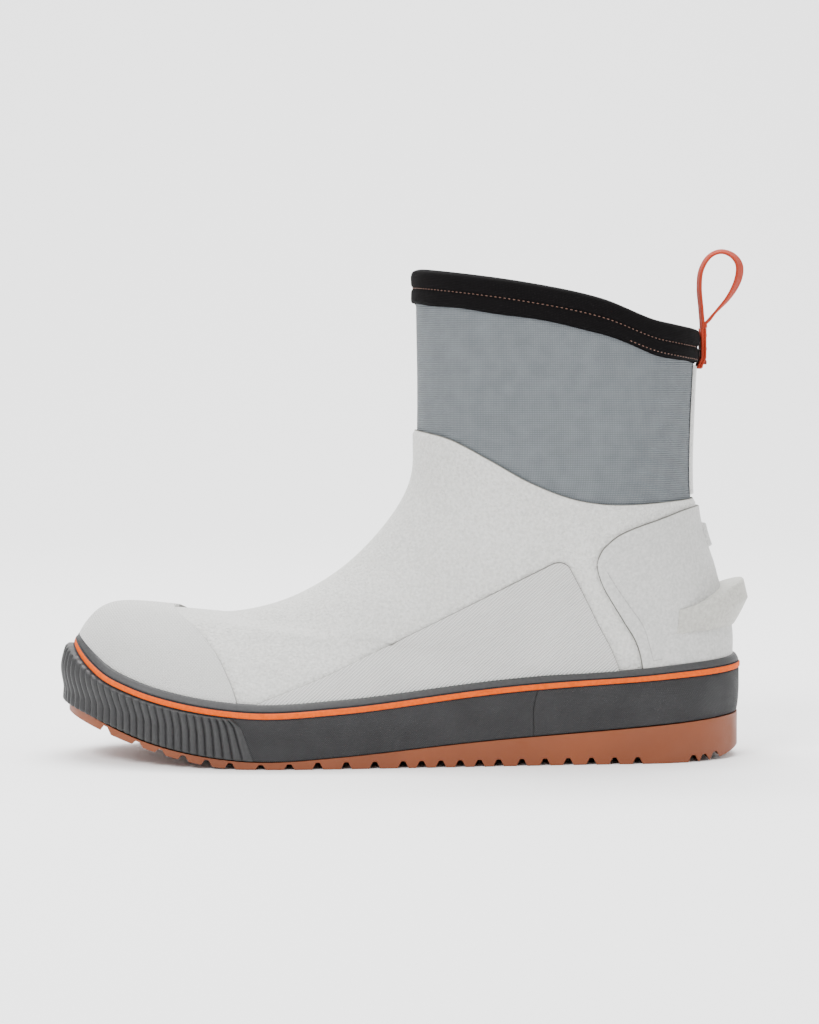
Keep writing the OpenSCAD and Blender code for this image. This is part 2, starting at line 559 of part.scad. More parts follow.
// The eye's middle line from one leg to the other: across and up, as parts of its width and height.
EYE = [[-0.03, 0], [-0.07, 0.25], [-0.11, 0.5], [-0.07, 0.74], [0.13, 0.93], [0.43, 1], [0.73, 0.94],
       [0.89, 0.8], [0.84, 0.6], [0.62, 0.38], [0.3, 0.18], [0.03, 0]];
function eye(t) = let (p = curve(EYE, t)) [p[0] * loop_w, p[1] * (loop_h - webbing_t)];
function eye_side(t, d) =
  let (e = eye(t + 0.05) - eye(t - 0.05), n = unit([-e[1], e[0]])) eye(t) + d * n;

module pull_loop() color([0.85, 0.32, 0.20]) placed_part()
  translate([pivot[0], 0, pivot[2]]) rotate([90, 0, 0]) linear_extrude(height = webbing_w, center = true)
    difference() {
      polygon(concat([for (i = [0:44]) eye_side(i / 4, webbing_t / 2)],
                     [for (a = [-10:-20:-170]) fold_r * [cos(a), sin(a)]]));
      polygon([for (i = [3:41]) eye_side(i / 4, -webbing_t / 2)]);
    }

module pull_loop_anchor() color([0.80, 0.30, 0.19]) placed_part()
  translate([pivot[0], 0, 0]) rotate([90, 0, 0]) linear_extrude(height = webbing_w, center = true)
    polygon([[-webbing_t, anchor_low], [webbing_t * 0.4, anchor_low - 0.8], [webbing_t, anchor_low + 0.6],
             [webbing_t, anchor_top], [-webbing_t, anchor_top]]);

tack_rows = 3;
module pull_loop_bartack() color([0.62, 0.22, 0.15]) placed_part()
  for (k = [0:tack_rows - 1])
    translate([pivot[0] + webbing_t + 0.3 + stitch_w / 2, 0, mix(anchor_low + 3, anchor_top - 3, k / (tack_rows - 1))])
      cube([stitch_w, webbing_w - 2, 1], center = true);

outsole();
midsole();
shank();
insole_board();
footbed();
lining();
neoprene_bootie();
toe_puff();
heel_stiffener();
rubber_shell();
toe_cap();
lateral_side_panel();
medial_side_panel();
heel_counter();
kick_off_lug();
heel_tab();
backstay_tape();
front_foxing();
heel_foxing();
pinstripe();
foxing_top_strip();
toe_bumper();
collar_binding();
collar_stitching();
pull_loop_anchor();
pull_loop_bartack();
pull_loop();
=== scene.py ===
import math
import bmesh
import bpy
import numpy as np
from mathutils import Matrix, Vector


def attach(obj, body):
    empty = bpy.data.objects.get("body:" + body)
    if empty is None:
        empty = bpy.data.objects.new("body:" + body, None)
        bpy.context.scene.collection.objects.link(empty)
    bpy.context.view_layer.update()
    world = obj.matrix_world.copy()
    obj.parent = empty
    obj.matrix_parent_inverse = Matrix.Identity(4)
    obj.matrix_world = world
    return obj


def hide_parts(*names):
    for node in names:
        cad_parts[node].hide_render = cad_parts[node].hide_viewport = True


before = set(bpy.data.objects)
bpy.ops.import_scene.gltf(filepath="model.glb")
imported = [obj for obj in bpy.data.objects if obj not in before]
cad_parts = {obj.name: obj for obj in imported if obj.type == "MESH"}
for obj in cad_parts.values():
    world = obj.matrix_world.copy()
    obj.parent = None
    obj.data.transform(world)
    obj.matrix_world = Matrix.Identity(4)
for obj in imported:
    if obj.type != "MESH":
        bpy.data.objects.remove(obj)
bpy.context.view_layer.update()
mm = 0.001

# the last: one smooth surface that every layer of the boot lies on
# each row: front x, z; back x, z; then half breadths over the sine of their angle, every 30 degrees
lastRows = np.array([
    [-146.0, 20.0, 144.6, 9.0, 70, 59, 54.0, 43.0, 40.5, 54, 66],
    [-147.7, 32.0, 145.0, 11.5, 73, 62, 56.0, 45.0, 41.5, 56, 67],
    [-142.3, 47.2, 145.3, 14.0, 66, 53, 47.5, 44.0, 42.3, 56, 67],
    [-129.8, 56.4, 145.4, 16.5, 42, 35, 38.0, 41.5, 42.4, 55, 66],
    [-104.0, 55.4, 145.5, 19.5, 25, 25, 38.5, 41.0, 42.0, 54, 65],
    [-76.0, 53.7, 145.5, 25.0, 30, 36, 43.0, 40.5, 41.3, 52, 63],
    [-47.0, 61.7, 145.6, 35.0, 44, 45, 43.5, 39.5, 40.2, 48, 60],
    [-20.5, 80.0, 144.9, 49.0, 42, 41, 41.5, 38.8, 38.5, 41, 50],
    [0.5, 108.0, 138.0, 72.0, 40, 40, 40.5, 39.8, 38.5, 37, 39],
    [3.3, 139.0, 129.6, 109.0, 43, 43, 43.5, 43.5, 42.5, 41, 41],
    [2.3, 222.0, 132.4, 198.0, 46, 46, 47.0, 47.0, 46.5, 45, 44]])
topV = len(lastRows) - 1
last = {"stack": 10.5, "kz": 1.00244, "toeSpring": 20.0, "heelLift": 9.0, "ballS": 0.38,
        "shiftX": -0.1751, "shiftY": -0.3301}


def clamp01(t):
    return np.clip(t, 0.0, 1.0)


def smooth(t):
    c = clamp01(t)
    return c * c * (3 - 2 * c)


def mix(a, b, t):
    return a + (b - a) * t


def curveRows(rows, t):
    n = len(rows) - 1
    padded = np.vstack([2 * rows[0] - rows[1], rows, 2 * rows[-1] - rows[-2]])
    c = np.clip(t, 0, n)
    i = np.minimum(np.floor(c), n - 1).astype(int)
    f = (c - i)[..., None]
    p0, p1, p2, p3 = padded[i], padded[i + 1], padded[i + 2], padded[i + 3]
    return 0.5 * (2 * p1 + (p2 - p0) * f + (2 * p0 - 5 * p1 + 4 * p2 - p3) * f ** 2
                  + (3 * p1 - p0 - 3 * p2 + p3) * f ** 3)


def curveEach(rows, t):
    n = rows.shape[-1] - 1
    padded = np.concatenate([2 * rows[..., :1] - rows[..., 1:2], rows,
                             2 * rows[..., -1:] - rows[..., -2:-1]], axis=-1)
    c = np.clip(t, 0, n)
    i = np.minimum(np.floor(c), n - 1).astype(int)
    f = c - i
    p0, p1, p2, p3 = [np.take_along_axis(padded, (i + k)[..., None], -1)[..., 0] for k in range(4)]
    return 0.5 * (2 * p1 + (p2 - p0) * f + (2 * p0 - 5 * p1 + 4 * p2 - p3) * f ** 2
                  + (3 * p1 - p0 - 3 * p2 + p3) * f ** 3)


def over(points, x):
    p = np.asarray(points, float)
    xs, zs = p[:, 0], p[:, 1]
    slope = np.diff(zs) / np.diff(xs)
    m = np.concatenate([slope[:1], (zs[2:] - zs[:-2]) / (xs[2:] - xs[:-2]), slope[-1:]])
    i = np.clip(np.searchsorted(xs, x, side="right") - 1, 0, len(xs) - 2)
    w = xs[i + 1] - xs[i]
    f = clamp01((x - xs[i]) / w)
    return ((2 * f ** 3 - 3 * f ** 2 + 1) * zs[i] + (f ** 3 - 2 * f ** 2 + f) * w * m[i]
            + (3 * f ** 2 - 2 * f ** 3) * zs[i + 1] + (f ** 3 - f ** 2) * w * m[i + 1])


def rocker(s):
    return (last["toeSpring"] * np.maximum(0, 1 - s / last["ballS"]) ** 2
            + last["heelLift"] * smooth((s - last["ballS"]) / (0.85 - last["ballS"])))


def heightOf(row, v, s):
    share = np.maximum(0, 1 - v / 3.5) ** 1.3
    z = mix(row[..., 1], row[..., 3], s) + share * (rocker(s) - mix(last["toeSpring"], last["heelLift"], s))
    return z * last["kz"] + last["stack"]


def along(a):
    return (1 - np.cos(np.radians(a))) / 2


def lastPoint(v, a):
    v, a = np.broadcast_arrays(np.asarray(v, float), np.asarray(a, float))
    row = curveRows(lastRows, v)
    s = along(a)
    sine = np.sin(np.radians(a))
    foot = clamp01(1 - v / 8) ** 1.5
    fold = np.abs((a + 180) % 360 - 180) / 30
    breadth = curveEach(row[..., 4:11], fold)
    waist = 0.25 * np.exp(-((s - 0.55) / 0.16) ** 2) - 0.02 * np.exp(-((s - 0.22) / 0.1) ** 2)
    arch = np.where(sine < 0, 1 - foot * waist, 1.0)
    swing = 5 * foot * np.maximum(0, 1 - s / 0.42) ** 2
    return np.stack([mix(row[..., 0], row[..., 2], s), swing - sine * breadth * arch, heightOf(row, v, s)], -1)


def travel(p, axis=0):
    # distances along rows of points, from the first of each
    steps = np.cumsum(np.linalg.norm(np.diff(p, axis=axis), axis=-1), axis=axis)
    return np.concatenate([np.zeros_like(np.take(steps, [0], axis)), steps], axis)


def unit(p):
    return p / np.maximum(1e-9, np.linalg.norm(p, axis=-1, keepdims=True))


def lastNormal(v, a):
    u = np.clip(v, 0.02, topV - 0.02)
    around = lastPoint(u, a + 1) - lastPoint(u, a - 1)
    up = lastPoint(u + 0.02, a) - lastPoint(u - 0.02, a)
    return unit(np.cross(around, up))


def vAt(a, z, lo=0.0, hi=float(topV), sign=1):
    # the section at which the column at angle a meets height z, or a line z(x)
    a = np.asarray(a, float)
    lo = np.full(a.shape, lo) if np.isscalar(lo) else lo.copy()
    hi = np.full(a.shape, hi) if np.isscalar(hi) else hi.copy()
    s = along(a)
    for step in range(26):
        m = (lo + hi) / 2
        row = curveRows(lastRows, m)
        want = z(mix(row[..., 0], row[..., 2], s)) if callable(z) else z
        above = (heightOf(row, m, s) - want) * sign > 0
        hi = np.where(above, m, hi)
        lo = np.where(above, lo, m)
    return (lo + hi) / 2


def placedLine(points):
    return np.array([[x, z * last["kz"] + last["stack"]] for x, z in points])


rubberEdge = placedLine([[2, 135], [18, 131], [35, 122.3], [53, 112.4], [73, 105], [93, 102.6], [130, 104.5]])
topLine = placedLine([[2, 204], [50, 197.2], [84, 190.4], [108, 181.8], [120, 179.4], [132, 177.6]])
layers = {"rubber": 1.4, "neoprene": 4.0, "lining": 0.8, "overlay": 1.2, "bond": 0.3}
neopreneD = -layers["rubber"] - layers["bond"]
liningD = neopreneD - layers["neoprene"] - layers["bond"]

# the sole's lines, by the share of its length from the toe
sole = {"foxingHeight": 24.6, "foxing": 4.2, "topStrip": 2.7, "stripe": 2.5, "bumper": 1.4, "lug": 3.0}
edgeLine = [[0, 25], [0.13, 10], [0.27, 3.6], [0.4, 5.2], [0.6, 10.9], [0.8, 15.2], [1, 20]]
ends = [lastPoint(0, 0)[0], lastPoint(0, 180)[0]]


def lastShare(x):
    return clamp01((x - ends[0]) / (ends[1] - ends[0]))


def edgeZ(s):
    return over(edgeLine, s)


def foxingTop(s):
    return (edgeZ(s) + sole["foxingHeight"] + 7 * np.maximum(0, 1 - s / 0.08) ** 2
            + 1.8 * smooth((s - 0.4) / 0.3) - 0.8 * smooth((s - 0.85) / 0.15))


def foxingLip(s):
    return foxingTop(s) - sole["topStrip"] - layers["bond"]


def floorZ(s):
    return 20.5 * np.maximum(0, 1 - s / 0.26) ** 1.6 + 5 * np.maximum(0, (s - 0.93) / 0.07) ** 2


def planNormal(a):
    t = lastPoint(0, a + 1) - lastPoint(0, a - 1)
    return unit(np.stack([t[..., 1], -t[..., 0], np.zeros_like(t[..., 0])], -1))


def wall(a, z, d):
    a, z, d = np.broadcast_arrays(np.asarray(a, float), np.asarray(z, float), np.asarray(d, float))
    p = lastPoint(vAt(a, z), a)
    p[..., 2] = z
    return p + d[..., None] * planNormal(a)


# building meshes
def place(p):
    q = np.array(p, float)
    q[..., 0] += last["shiftX"]
    q[..., 1] += last["shiftY"]
    return q * mm


def quads(n, m, closed, start=0, flip=False):
    j = np.arange(n if closed else n - 1)
    i = np.arange(m - 1)
    jj, ii = np.meshgrid(j, i, indexing="ij")
    k = (jj + 1) % n
    q = np.stack([jj * m + ii, jj * m + ii + 1, k * m + ii + 1, k * m + ii], -1).reshape(-1, 4) + start
    uv = np.stack([np.stack([jj, ii], -1), np.stack([jj, ii + 1], -1), np.stack([jj + 1, ii + 1], -1),
                   np.stack([jj + 1, ii], -1)], 2).reshape(-1, 4, 2)
    if flip:
        q, uv = q[:, ::-1], uv[:, ::-1]
    return q, uv


def finishMesh(name, verts, faces, uvs, sharp=40, edge=None):
    name = name.replace(" ", "_")
    mesh = bpy.data.meshes.new(name)
    mesh.from_pydata(verts.tolist(), [], faces)
    layer = mesh.uv_layers.new(name="mm")
    layer.data.foreach_set("uv", np.asarray(uvs, float).reshape(-1))
    # the distance of each point from the edge, which the painted edge shade reads
    if edge is not None:
        kept = mesh.attributes.new("fromEdge", "FLOAT", "POINT")
        kept.data.foreach_set("value", np.asarray(edge, float).reshape(-1))
    mesh.validate(clean_customdata=False)
    mesh.shade_smooth()
    mesh.set_sharp_from_angle(angle=math.radians(sharp))
    obj = bpy.data.objects.new(name, mesh)
    bpy.context.scene.collection.objects.link(obj)
    return obj


def gridUv(p, closed):
    # distances round and up the grid, in millimetres
    q = np.concatenate([p, p[:1]], 0) if closed else p
    mid = q[:, q.shape[1] // 2]
    v = travel(q, 1)
    return np.stack([np.broadcast_to(travel(mid)[:, None], v.shape), v], -1)


def wrap(name, outer, inner, closed=True, uv=None, sharp=40, edge=None):
    # one closed solid between two grids of points with the same shape
    n, m = outer.shape[:2]
    uv = gridUv(outer, closed) if uv is None else uv
    size = n * m
    faces, coords = [], []
    for start, flip in ((0, True), (size, False)):
        q, g = quads(n, m, closed, start, flip)
        faces.append(q)
        coords.append(uv[g[..., 0], g[..., 1]])
    j = np.arange(n if closed else n - 1)
    k = (j + 1) % n
    for row, flip in ((m - 1, True), (0, False)):
        q = np.stack([j * m + row, size + j * m + row, size + k * m + row, k * m + row], -1)
        g = np.stack([uv[j, row], uv[j, row], uv[j + 1, row], uv[j + 1, row]], 1)
        faces.append(q[:, ::-1] if flip else q)
        coords.append(g[:, ::-1] if flip else g)
    if not closed:
        i = np.arange(m - 1)
        for col, flip in ((0, True), (n - 1, False)):
            q = np.stack([col * m + i, size + col * m + i, size + col * m + i + 1, col * m + i + 1], -1)
            g = np.stack([uv[col, i], uv[col, i], uv[col, i + 1], uv[col, i + 1]], 1)
            faces.append(q[:, ::-1] if flip else q)
            coords.append(g[:, ::-1] if flip else g)
    verts = place(np.concatenate([outer.reshape(-1, 3), inner.reshape(-1, 3)]))
    if edge is not None:
        edge = np.concatenate([np.broadcast_to(edge, (n, m)).reshape(-1)] * 2)
    return finishMesh(name, verts, np.concatenate(faces).tolist(), np.concatenate(coords), sharp, edge)


def ripple(p, size, seed):
    # a gentle unevenness over points, from a few waves in fixed directions
    rng = np.random.default_rng(seed)
    total = np.zeros(p.shape[:-1])
    for k in range(7):
        d = unit(rng.normal(size=3)) / size * rng.uniform(0.6, 1.7)
        total += np.sin(p @ d * 2 * math.pi + rng.uniform(0, 6.28)) / 7
    return total


# materials
def newMaterial(name, color, rough, **values):
    mat = bpy.data.materials.new(name)
    mat.use_nodes = True
    inputs = shaderOf(mat)
    inputs["Base Color"].default_value = (*color, 1)
    inputs["Roughness"].default_value = rough
    for key, value in values.items():
        inputs[key.replace("_", " ")].default_value = value
    return mat


def node(mat, kind, **values):
    n = mat.node_tree.nodes.new(kind)
    for key, value in values.items():
        if hasattr(n, key):
            setattr(n, key, value)
        else:
            n.inputs[key.replace("_", " ")].default_value = value
    return n


def join(mat, a, b):
    mat.node_tree.links.new(a, b)


def shaderOf(mat):
    return mat.node_tree.nodes["Principled BSDF"].inputs


def calc(mat, operation, a, b=None):
    n = node(mat, "ShaderNodeMath", operation=operation)
    for k, value in enumerate((a, b)):
        if value is None:
            continue
        if isinstance(value, (int, float)):
            n.inputs[k].default_value = value
        else:
            join(mat, value, n.inputs[k])
    return n.outputs[0]


def axes(mat, uv=True):
    # the places along the surface in millimetres, or those of the object in metres
    if uv:
        out = node(mat, "ShaderNodeUVMap", uv_map="mm").outputs["UV"]
    else:
        out = node(mat, "ShaderNodeTexCoord").outputs["Object"]
    split = node(mat, "ShaderNodeSeparateXYZ")
    join(mat, out, split.inputs[0])
    return split.outputs


def noise(mat, scale, detail=3, rough=0.5):
    n = node(mat, "ShaderNodeTexNoise", Scale=scale, Detail=detail, Roughness=rough)
    join(mat, node(mat, "ShaderNodeTexCoord").outputs["Object"], n.inputs["Vector"])
    return n.outputs["Fac"]


def weighed(mat, a, partA, b, partB):
    return calc(mat, "ADD", calc(mat, "MULTIPLY", a, partA), calc(mat, "MULTIPLY", b, partB))


def ridge(mat, value, pitch):
    # 0 to 1 waves of a length in the same unit as value
    w = calc(mat, "SINE", calc(mat, "MULTIPLY", value, 2 * math.pi / pitch))
    return calc(mat, "ADD", calc(mat, "MULTIPLY", w, 0.5), 0.5)


def crossRidges(mat, pitchU, pitchV, axis):
    return calc(mat, "MULTIPLY", ridge(mat, axis[0], pitchU), ridge(mat, axis[1], pitchV))


def bump(mat, height, distance, strength=1.0, under=None):
    n = node(mat, "ShaderNodeBump", Strength=strength, Distance=distance)
    join(mat, height, n.inputs["Height"])
    if under is not None:
        join(mat, under, n.inputs["Normal"])
    return n.outputs["Normal"]


def useNormal(mat, normal):
    join(mat, normal, shaderOf(mat)["Normal"])


def spanOf(mat, value, low, high, toLow=0.0, toHigh=1.0, **values):
    # value brought from one range into another
    span = node(mat, "ShaderNodeMapRange", **values)
    join(mat, value, span.inputs["Value"])
    for key, limit in (("From Min", low), ("From Max", high), ("To Min", toLow), ("To Max", toHigh)):
        span.inputs[key].default_value = limit
    return span.outputs[0]


def blendColor(mat, factor, a, b):
    # the base colour goes from a to b; each is a colour or a socket
    blend = node(mat, "ShaderNodeMix", data_type="RGBA")
    join(mat, factor, blend.inputs["Factor"])
    for key, value in (("A", a), ("B", b)):
        if isinstance(value, tuple):
            blend.inputs[key].default_value = (*value, 1)
        else:
            join(mat, value, blend.inputs[key])
    join(mat, blend.outputs["Result"], shaderOf(mat)["Base Color"])


def tint(mat, factor, low, high, dark, light):
    # colour between dark and light as factor goes from low to high
    blendColor(mat, spanOf(mat, factor, low, high), dark, light)


def fromEdge(mat):
    return node(mat, "ShaderNodeAttribute", attribute_name="fromEdge").outputs["Fac"]


def paintedEdgeShade(mat, width, dark, reach=0.0):
    # a thin painted shade along the edges of a piece, where the step of its edge casts shadow
    factor = spanOf(mat, fromEdge(mat), reach, reach + width, interpolation_type="SMOOTHSTEP")
    blendColor(mat, factor, dark, shaderOf(mat)["Base Color"].links[0].from_socket)


def paintedGrooveShade(mat, at, width, depth, dark):
    # a faint painted shade along a line inside the edge of a piece, where a moulded groove runs
    off = calc(mat, "DIVIDE", calc(mat, "ABSOLUTE", calc(mat, "SUBTRACT", fromEdge(mat), at)), width)
    share = calc(mat, "MULTIPLY", calc(mat, "MAXIMUM", calc(mat, "SUBTRACT", 1, off), 0), depth)
    blendColor(mat, share, shaderOf(mat)["Base Color"].links[0].from_socket, dark)


def wear(mat, scale, low, high):
    # roughness that varies over the surface
    join(mat, spanOf(mat, noise(mat, scale), 0.3, 0.7, low, high), shaderOf(mat)["Roughness"])


def toned(color, k):
    return tuple(c * k for c in color)


def dress(obj, mat, name, body="boot", nodes=None):
    # gives a piece its material, hides the CAD node that it takes the place of, and hangs it under its body
    obj.data.materials.append(mat)
    nodes = (name,) if nodes is None else nodes
    if nodes:
        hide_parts(*nodes)
    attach(obj, body)
    return obj


def rubberMaterial(name, color, rough, grain=0.0014, shine=0.3):
    mat = newMaterial(name, color, rough, Specular_IOR_Level=shine)
    mottle = weighed(mat, noise(mat, 22, 4), 0.3, noise(mat, 750, 2), 0.7)
    tint(mat, mottle, 0.38, 0.62, toned(color, 0.87), toned(color, 1.1))
    wear(mat, 60, rough - 0.06, rough + 0.08)
    useNormal(mat, bump(mat, noise(mat, 900, 3), grain, 0.8, bump(mat, noise(mat, 260, 3), 0.0002, 0.4)))
    return mat


print("the last, mesh and material tools are ready")

# camera, floor and light
view = {"distance": 1.25, "height": 0.172, "aimHeight": 0.1086, "across": 0.0018, "turn": 1.5, "lens": 122.9}
turn = math.radians(-view["turn"])
spot = Vector((view["across"], -view["distance"], view["height"]))
aim = Vector((view["across"], 0, view["aimHeight"]))
for p in (spot, aim):
    p.x, p.y = p.x * math.cos(turn) - p.y * math.sin(turn), p.x * math.sin(turn) + p.y * math.cos(turn)
cameraData = bpy.data.cameras.new("camera")
cameraData.lens = view["lens"]
cameraData.sensor_width = 36
cameraData.sensor_fit = "HORIZONTAL"
camera = bpy.data.objects.new("camera", cameraData)
camera.location = spot
camera.rotation_euler = (aim - spot).to_track_quat("-Z", "Y").to_euler()
bpy.context.scene.collection.objects.link(camera)
bpy.context.scene.camera = camera

studio = {"world": 1.25, "key": 40.0, "fill": 7.0, "top": 30.0, "floor": 0.94, "back": 90.0}
world = bpy.data.worlds.new("studio")
world.use_nodes = True
world.node_tree.nodes["Background"].inputs["Color"].default_value = (1, 1, 1, 1)
world.node_tree.nodes["Background"].inputs["Strength"].default_value = studio["world"]
bpy.context.scene.world = world


def areaLight(name, at, toward, size, power):
    data = bpy.data.lights.new(name, "AREA")
    data.shape = "RECTANGLE"
    data.size, data.size_y = size
    data.energy = power
    lamp = bpy.data.objects.new(name, data)
    lamp.location = at
    lamp.rotation_euler = (Vector(toward) - Vector(at)).to_track_quat("-Z", "Y").to_euler()
    bpy.context.scene.collection.objects.link(lamp)


areaLight("key light", (-0.8, -1.2, 1.5), (0, 0, 0.1), (0.8, 0.8), studio["key"])
areaLight("fill light", (1.3, -0.9, 0.6), (0, 0, 0.1), (0.7, 1.0), studio["fill"])
areaLight("top light", (0.0, 0.25, 1.6), (0, 0, 0.1), (1.0, 1.0), studio["top"])
areaLight("backdrop light", (0, 1.2, 2.6), (0, 2.3, 0.3), (3.0, 1.0), studio["back"])
bend = [(1.6 + math.sin(k), 1 - math.cos(k)) for k in np.linspace(0, math.pi / 2, 25)]
sweep = [(-4.0, 0.0)] + bend + [(2.6, 6.0)]
points = [(x, y, z) for y, z in sweep for x in (-8, 8)]
faces = [(2 * k, 2 * k + 1, 2 * k + 3, 2 * k + 2) for k in range(len(sweep) - 1)]
floorMesh = bpy.data.meshes.new("floor")
floorMesh.from_pydata(points, [], faces)
floorMesh.shade_smooth()
floor = bpy.data.objects.new("floor", floorMesh)
bpy.context.scene.collection.objects.link(floor)
floor.data.materials.append(newMaterial("pale floor", (studio["floor"],) * 3, 0.8))
print("camera, floor and light are ready")


def strip(a, vLow, vHigh, n, dOut, dIn, ease=1.0):
    # columns at angles a between two lines of sections; dOut and dIn take the shares up a column
    f = np.linspace(0, 1, n)
    f = mix(f, 0.5 - 0.5 * np.cos(math.pi * f), ease)[None, :] * np.ones((len(a), 1))
    v = vLow[:, None] + (vHigh - vLow)[:, None] * f
    aa = np.broadcast_to(a[:, None], v.shape)
    p, normal = lastPoint(v, aa), lastNormal(v, aa)
    up = travel(p, 1)
    outer = dOut(p, up, up[:, -1:] - up) if callable(dOut) else dOut
    inner = dIn(p, up, up[:, -1:] - up) if callable(dIn) else dIn
    outer = np.broadcast_to(np.asarray(outer, float), v.shape)
    inner = np.broadcast_to(np.asarray(inner, float), v.shape)
    return p + outer[..., None] * normal, p + inner[..., None] * normal


def rounded(fromEdge, radius):
    # how far a rounded edge falls away, as a share of its thickness, at a distance from the edge
    t = clamp01(fromEdge / radius)
    return 1 - np.sqrt(np.maximum(0, 1 - (1 - t) ** 2))


def ring(n):
    return np.arange(n) * 360.0 / n


def bySide(x, z, sign):
    # the section and angle of the point of one side at a place seen level from that side
    x, z = np.broadcast_arrays(np.asarray(x, float), np.asarray(z, float))
    lo, hi = np.zeros(x.shape), np.full(x.shape, float(topV))
    for step in range(28):
        m = (lo + hi) / 2
        row = curveRows(lastRows, m)
        s = (x - row[..., 0]) / (row[..., 2] - row[..., 0])
        above = (heightOf(row, m, clamp01(s)) > z) | (s < 0)
        hi, lo = np.where(above, m, hi), np.where(above, lo, m)
    row = curveRows(lastRows, lo)
    s = clamp01((x - row[..., 0]) / (row[..., 2] - row[..., 0]))
    a = np.degrees(np.arccos(1 - 2 * s))
    return lo, (a if sign > 0 else 360 - a)


def vLine(points):
    return lambda x: over(points, x)


# upper: bootie, lining and rubber shell
# the shell's line is the colour of the painted shade along its top edge
shell = {"color": (0.54, 0.537, 0.515), "rough": 0.5, "columns": 420, "rows": 150, "wave": 0.16, "edge": 0.8,
         "line": (0.11, 0.105, 0.085)}
shellMat = rubberMaterial("pale matte rubber", shell["color"], shell["rough"])
a = ring(shell["columns"])
edgeV = vAt(a, vLine(rubberEdge))


def shellOut(p, low, high):
    fall = 1.0 * rounded(high, shell["edge"]) * (high < shell["edge"])
    return shell["wave"] * ripple(p, 46, 3) + 0.05 * ripple(p, 15, 4) - fall


outer, inner = strip(a, np.zeros_like(a), edgeV, shell["rows"], shellOut, -layers["rubber"], 0.35)
fromTop = np.linalg.norm(outer - outer[:, -1:], axis=-1)
# painted shade: a thin dark line along the top edge of the shell, where its step casts shadow
paintedEdgeShade(shellMat, 0.5, shell["line"], 0.1)
dress(wrap("rubber shell", outer, inner, edge=fromTop), shellMat, "rubber_shell")

knit = {"color": (0.128, 0.142, 0.152), "pitch": 0.95, "wale": 0.8, "depth": 0.11, "columns": 300,
        "rows": 560}
knitMat = newMaterial("grey knit over neoprene", knit["color"], 0.85, Specular_IOR_Level=0.2, Sheen_Weight=0.06,
                      Sheen_Roughness=0.5)
axis = axes(knitMat)
dots = crossRidges(knitMat, knit["wale"], knit["pitch"], axis)
shade = weighed(knitMat, dots, 0.75, noise(knitMat, 160, 4), 0.5)
tint(knitMat, shade, 0.2, 0.95, toned(knit["color"], 0.66), toned(knit["color"], 1.22))
useNormal(knitMat, bump(knitMat, dots, 0.00016, 0.7, bump(knitMat, noise(knitMat, 900, 2), 0.0001, 0.5)))
a = ring(knit["columns"])
topVs = vAt(a, vLine(topLine))
edgeLow = vAt(a, vLine(rubberEdge)) - 0.55


def knitOut(p, low, high):
    rowsUp = np.sin(p[..., 2] * 2 * math.pi / knit["pitch"])
    return neopreneD + knit["depth"] * rowsUp + 0.1 * ripple(p, 34, 8) - 0.3


outer, inner = strip(a, edgeLow, topVs, knit["rows"], knitOut, neopreneD - layers["neoprene"], 0)
# heights in the map are level, so that the rows of the knit run level round the leg
uvMap = gridUv(outer, True)
uvMap[..., 1] = np.concatenate([outer, outer[:1]], 0)[..., 2]
shaft = wrap("neoprene shaft", outer, inner, uv=uvMap)
dress(shaft, knitMat, "neoprene_bootie")
low, lowIn = strip(ring(120), np.zeros(120), vAt(ring(120), vLine(rubberEdge)) - 0.5, 60, neopreneD - 0.5,
                   neopreneD - layers["neoprene"], 0)
dress(wrap("neoprene foot", low, lowIn), knitMat, "neoprene_bootie", nodes=())

liner = {"color": (0.028, 0.03, 0.034), "pitch": 1.4}
linerMat = newMaterial("dark lining jersey", liner["color"], 0.9, Sheen_Weight=0.3)
axis = axes(linerMat)
loops = crossRidges(linerMat, liner["pitch"], liner["pitch"], axis)
tint(linerMat, loops, 0, 1, toned(liner["color"], 0.6), toned(liner["color"], 1.7))
useNormal(linerMat, bump(linerMat, loops, 0.0002, 0.8))
a = ring(200)


def liningIn(p, low, high):
    return liningD - layers["lining"] + 0.15 * ripple(p, 22, 5) + 0.05 * ripple(p, 7, 6)


outer, inner = strip(a, np.zeros_like(a), vAt(a, vLine(topLine)), 150, liningD, liningIn, 0)
dress(wrap("lining", outer, inner), linerMat, "lining")
print("bootie, lining and shell are built")

# bonded rubber overlays
# the overlays' line is the colour of the painted shade along their edges
overlay = {"color": (0.50, 0.498, 0.483), "rough": 0.52, "edge": 0.6, "texture": 1.0, "depth": 0.0004,
           "line": (0.1, 0.097, 0.085), "clear": 0.1, "inset": 0.25, "panelPitch": 1.1, "panelDepth": 0.0006}


def textured(name, color, rough, angles, pitch, depth, contrast=0.13):
    # fine raised lines in one or two slanting directions
    mat = newMaterial(name, color, rough, Specular_IOR_Level=0.3)
    axis = axes(mat, False)
    total = None
    for angle in angles:
        # lines that rise towards the heel at this angle
        c, s = math.cos(math.radians(angle)), math.sin(math.radians(angle))
        level = weighed(mat, axis[0], -s, axis[2], c)
        lines = ridge(mat, level, pitch * mm)
        total = lines if total is None else calc(mat, "MULTIPLY", total, lines)
    shade = weighed(mat, total, 0.6, noise(mat, 30, 4), 0.6)
    tint(mat, shade, 0.2, 0.9, toned(color, 1 - contrast), toned(color, 1 + contrast))
    wear(mat, 60, rough - 0.05, rough + 0.1)
    useNormal(mat, bump(mat, total, depth, 0.8, bump(mat, noise(mat, 900, 2), 0.00006, 0.5)))
    return mat


capMat = textured("toe cap rubber", overlay["color"], overlay["rough"], (45, -45), overlay["texture"],
                  overlay["depth"])
panelMat = textured("side panel rubber", overlay["color"], overlay["rough"], (42,), overlay["panelPitch"],
                    overlay["panelDepth"], 0.16)
counterMat = rubberMaterial("counter rubber", toned(overlay["color"], 0.9), overlay["rough"], 0.0007)
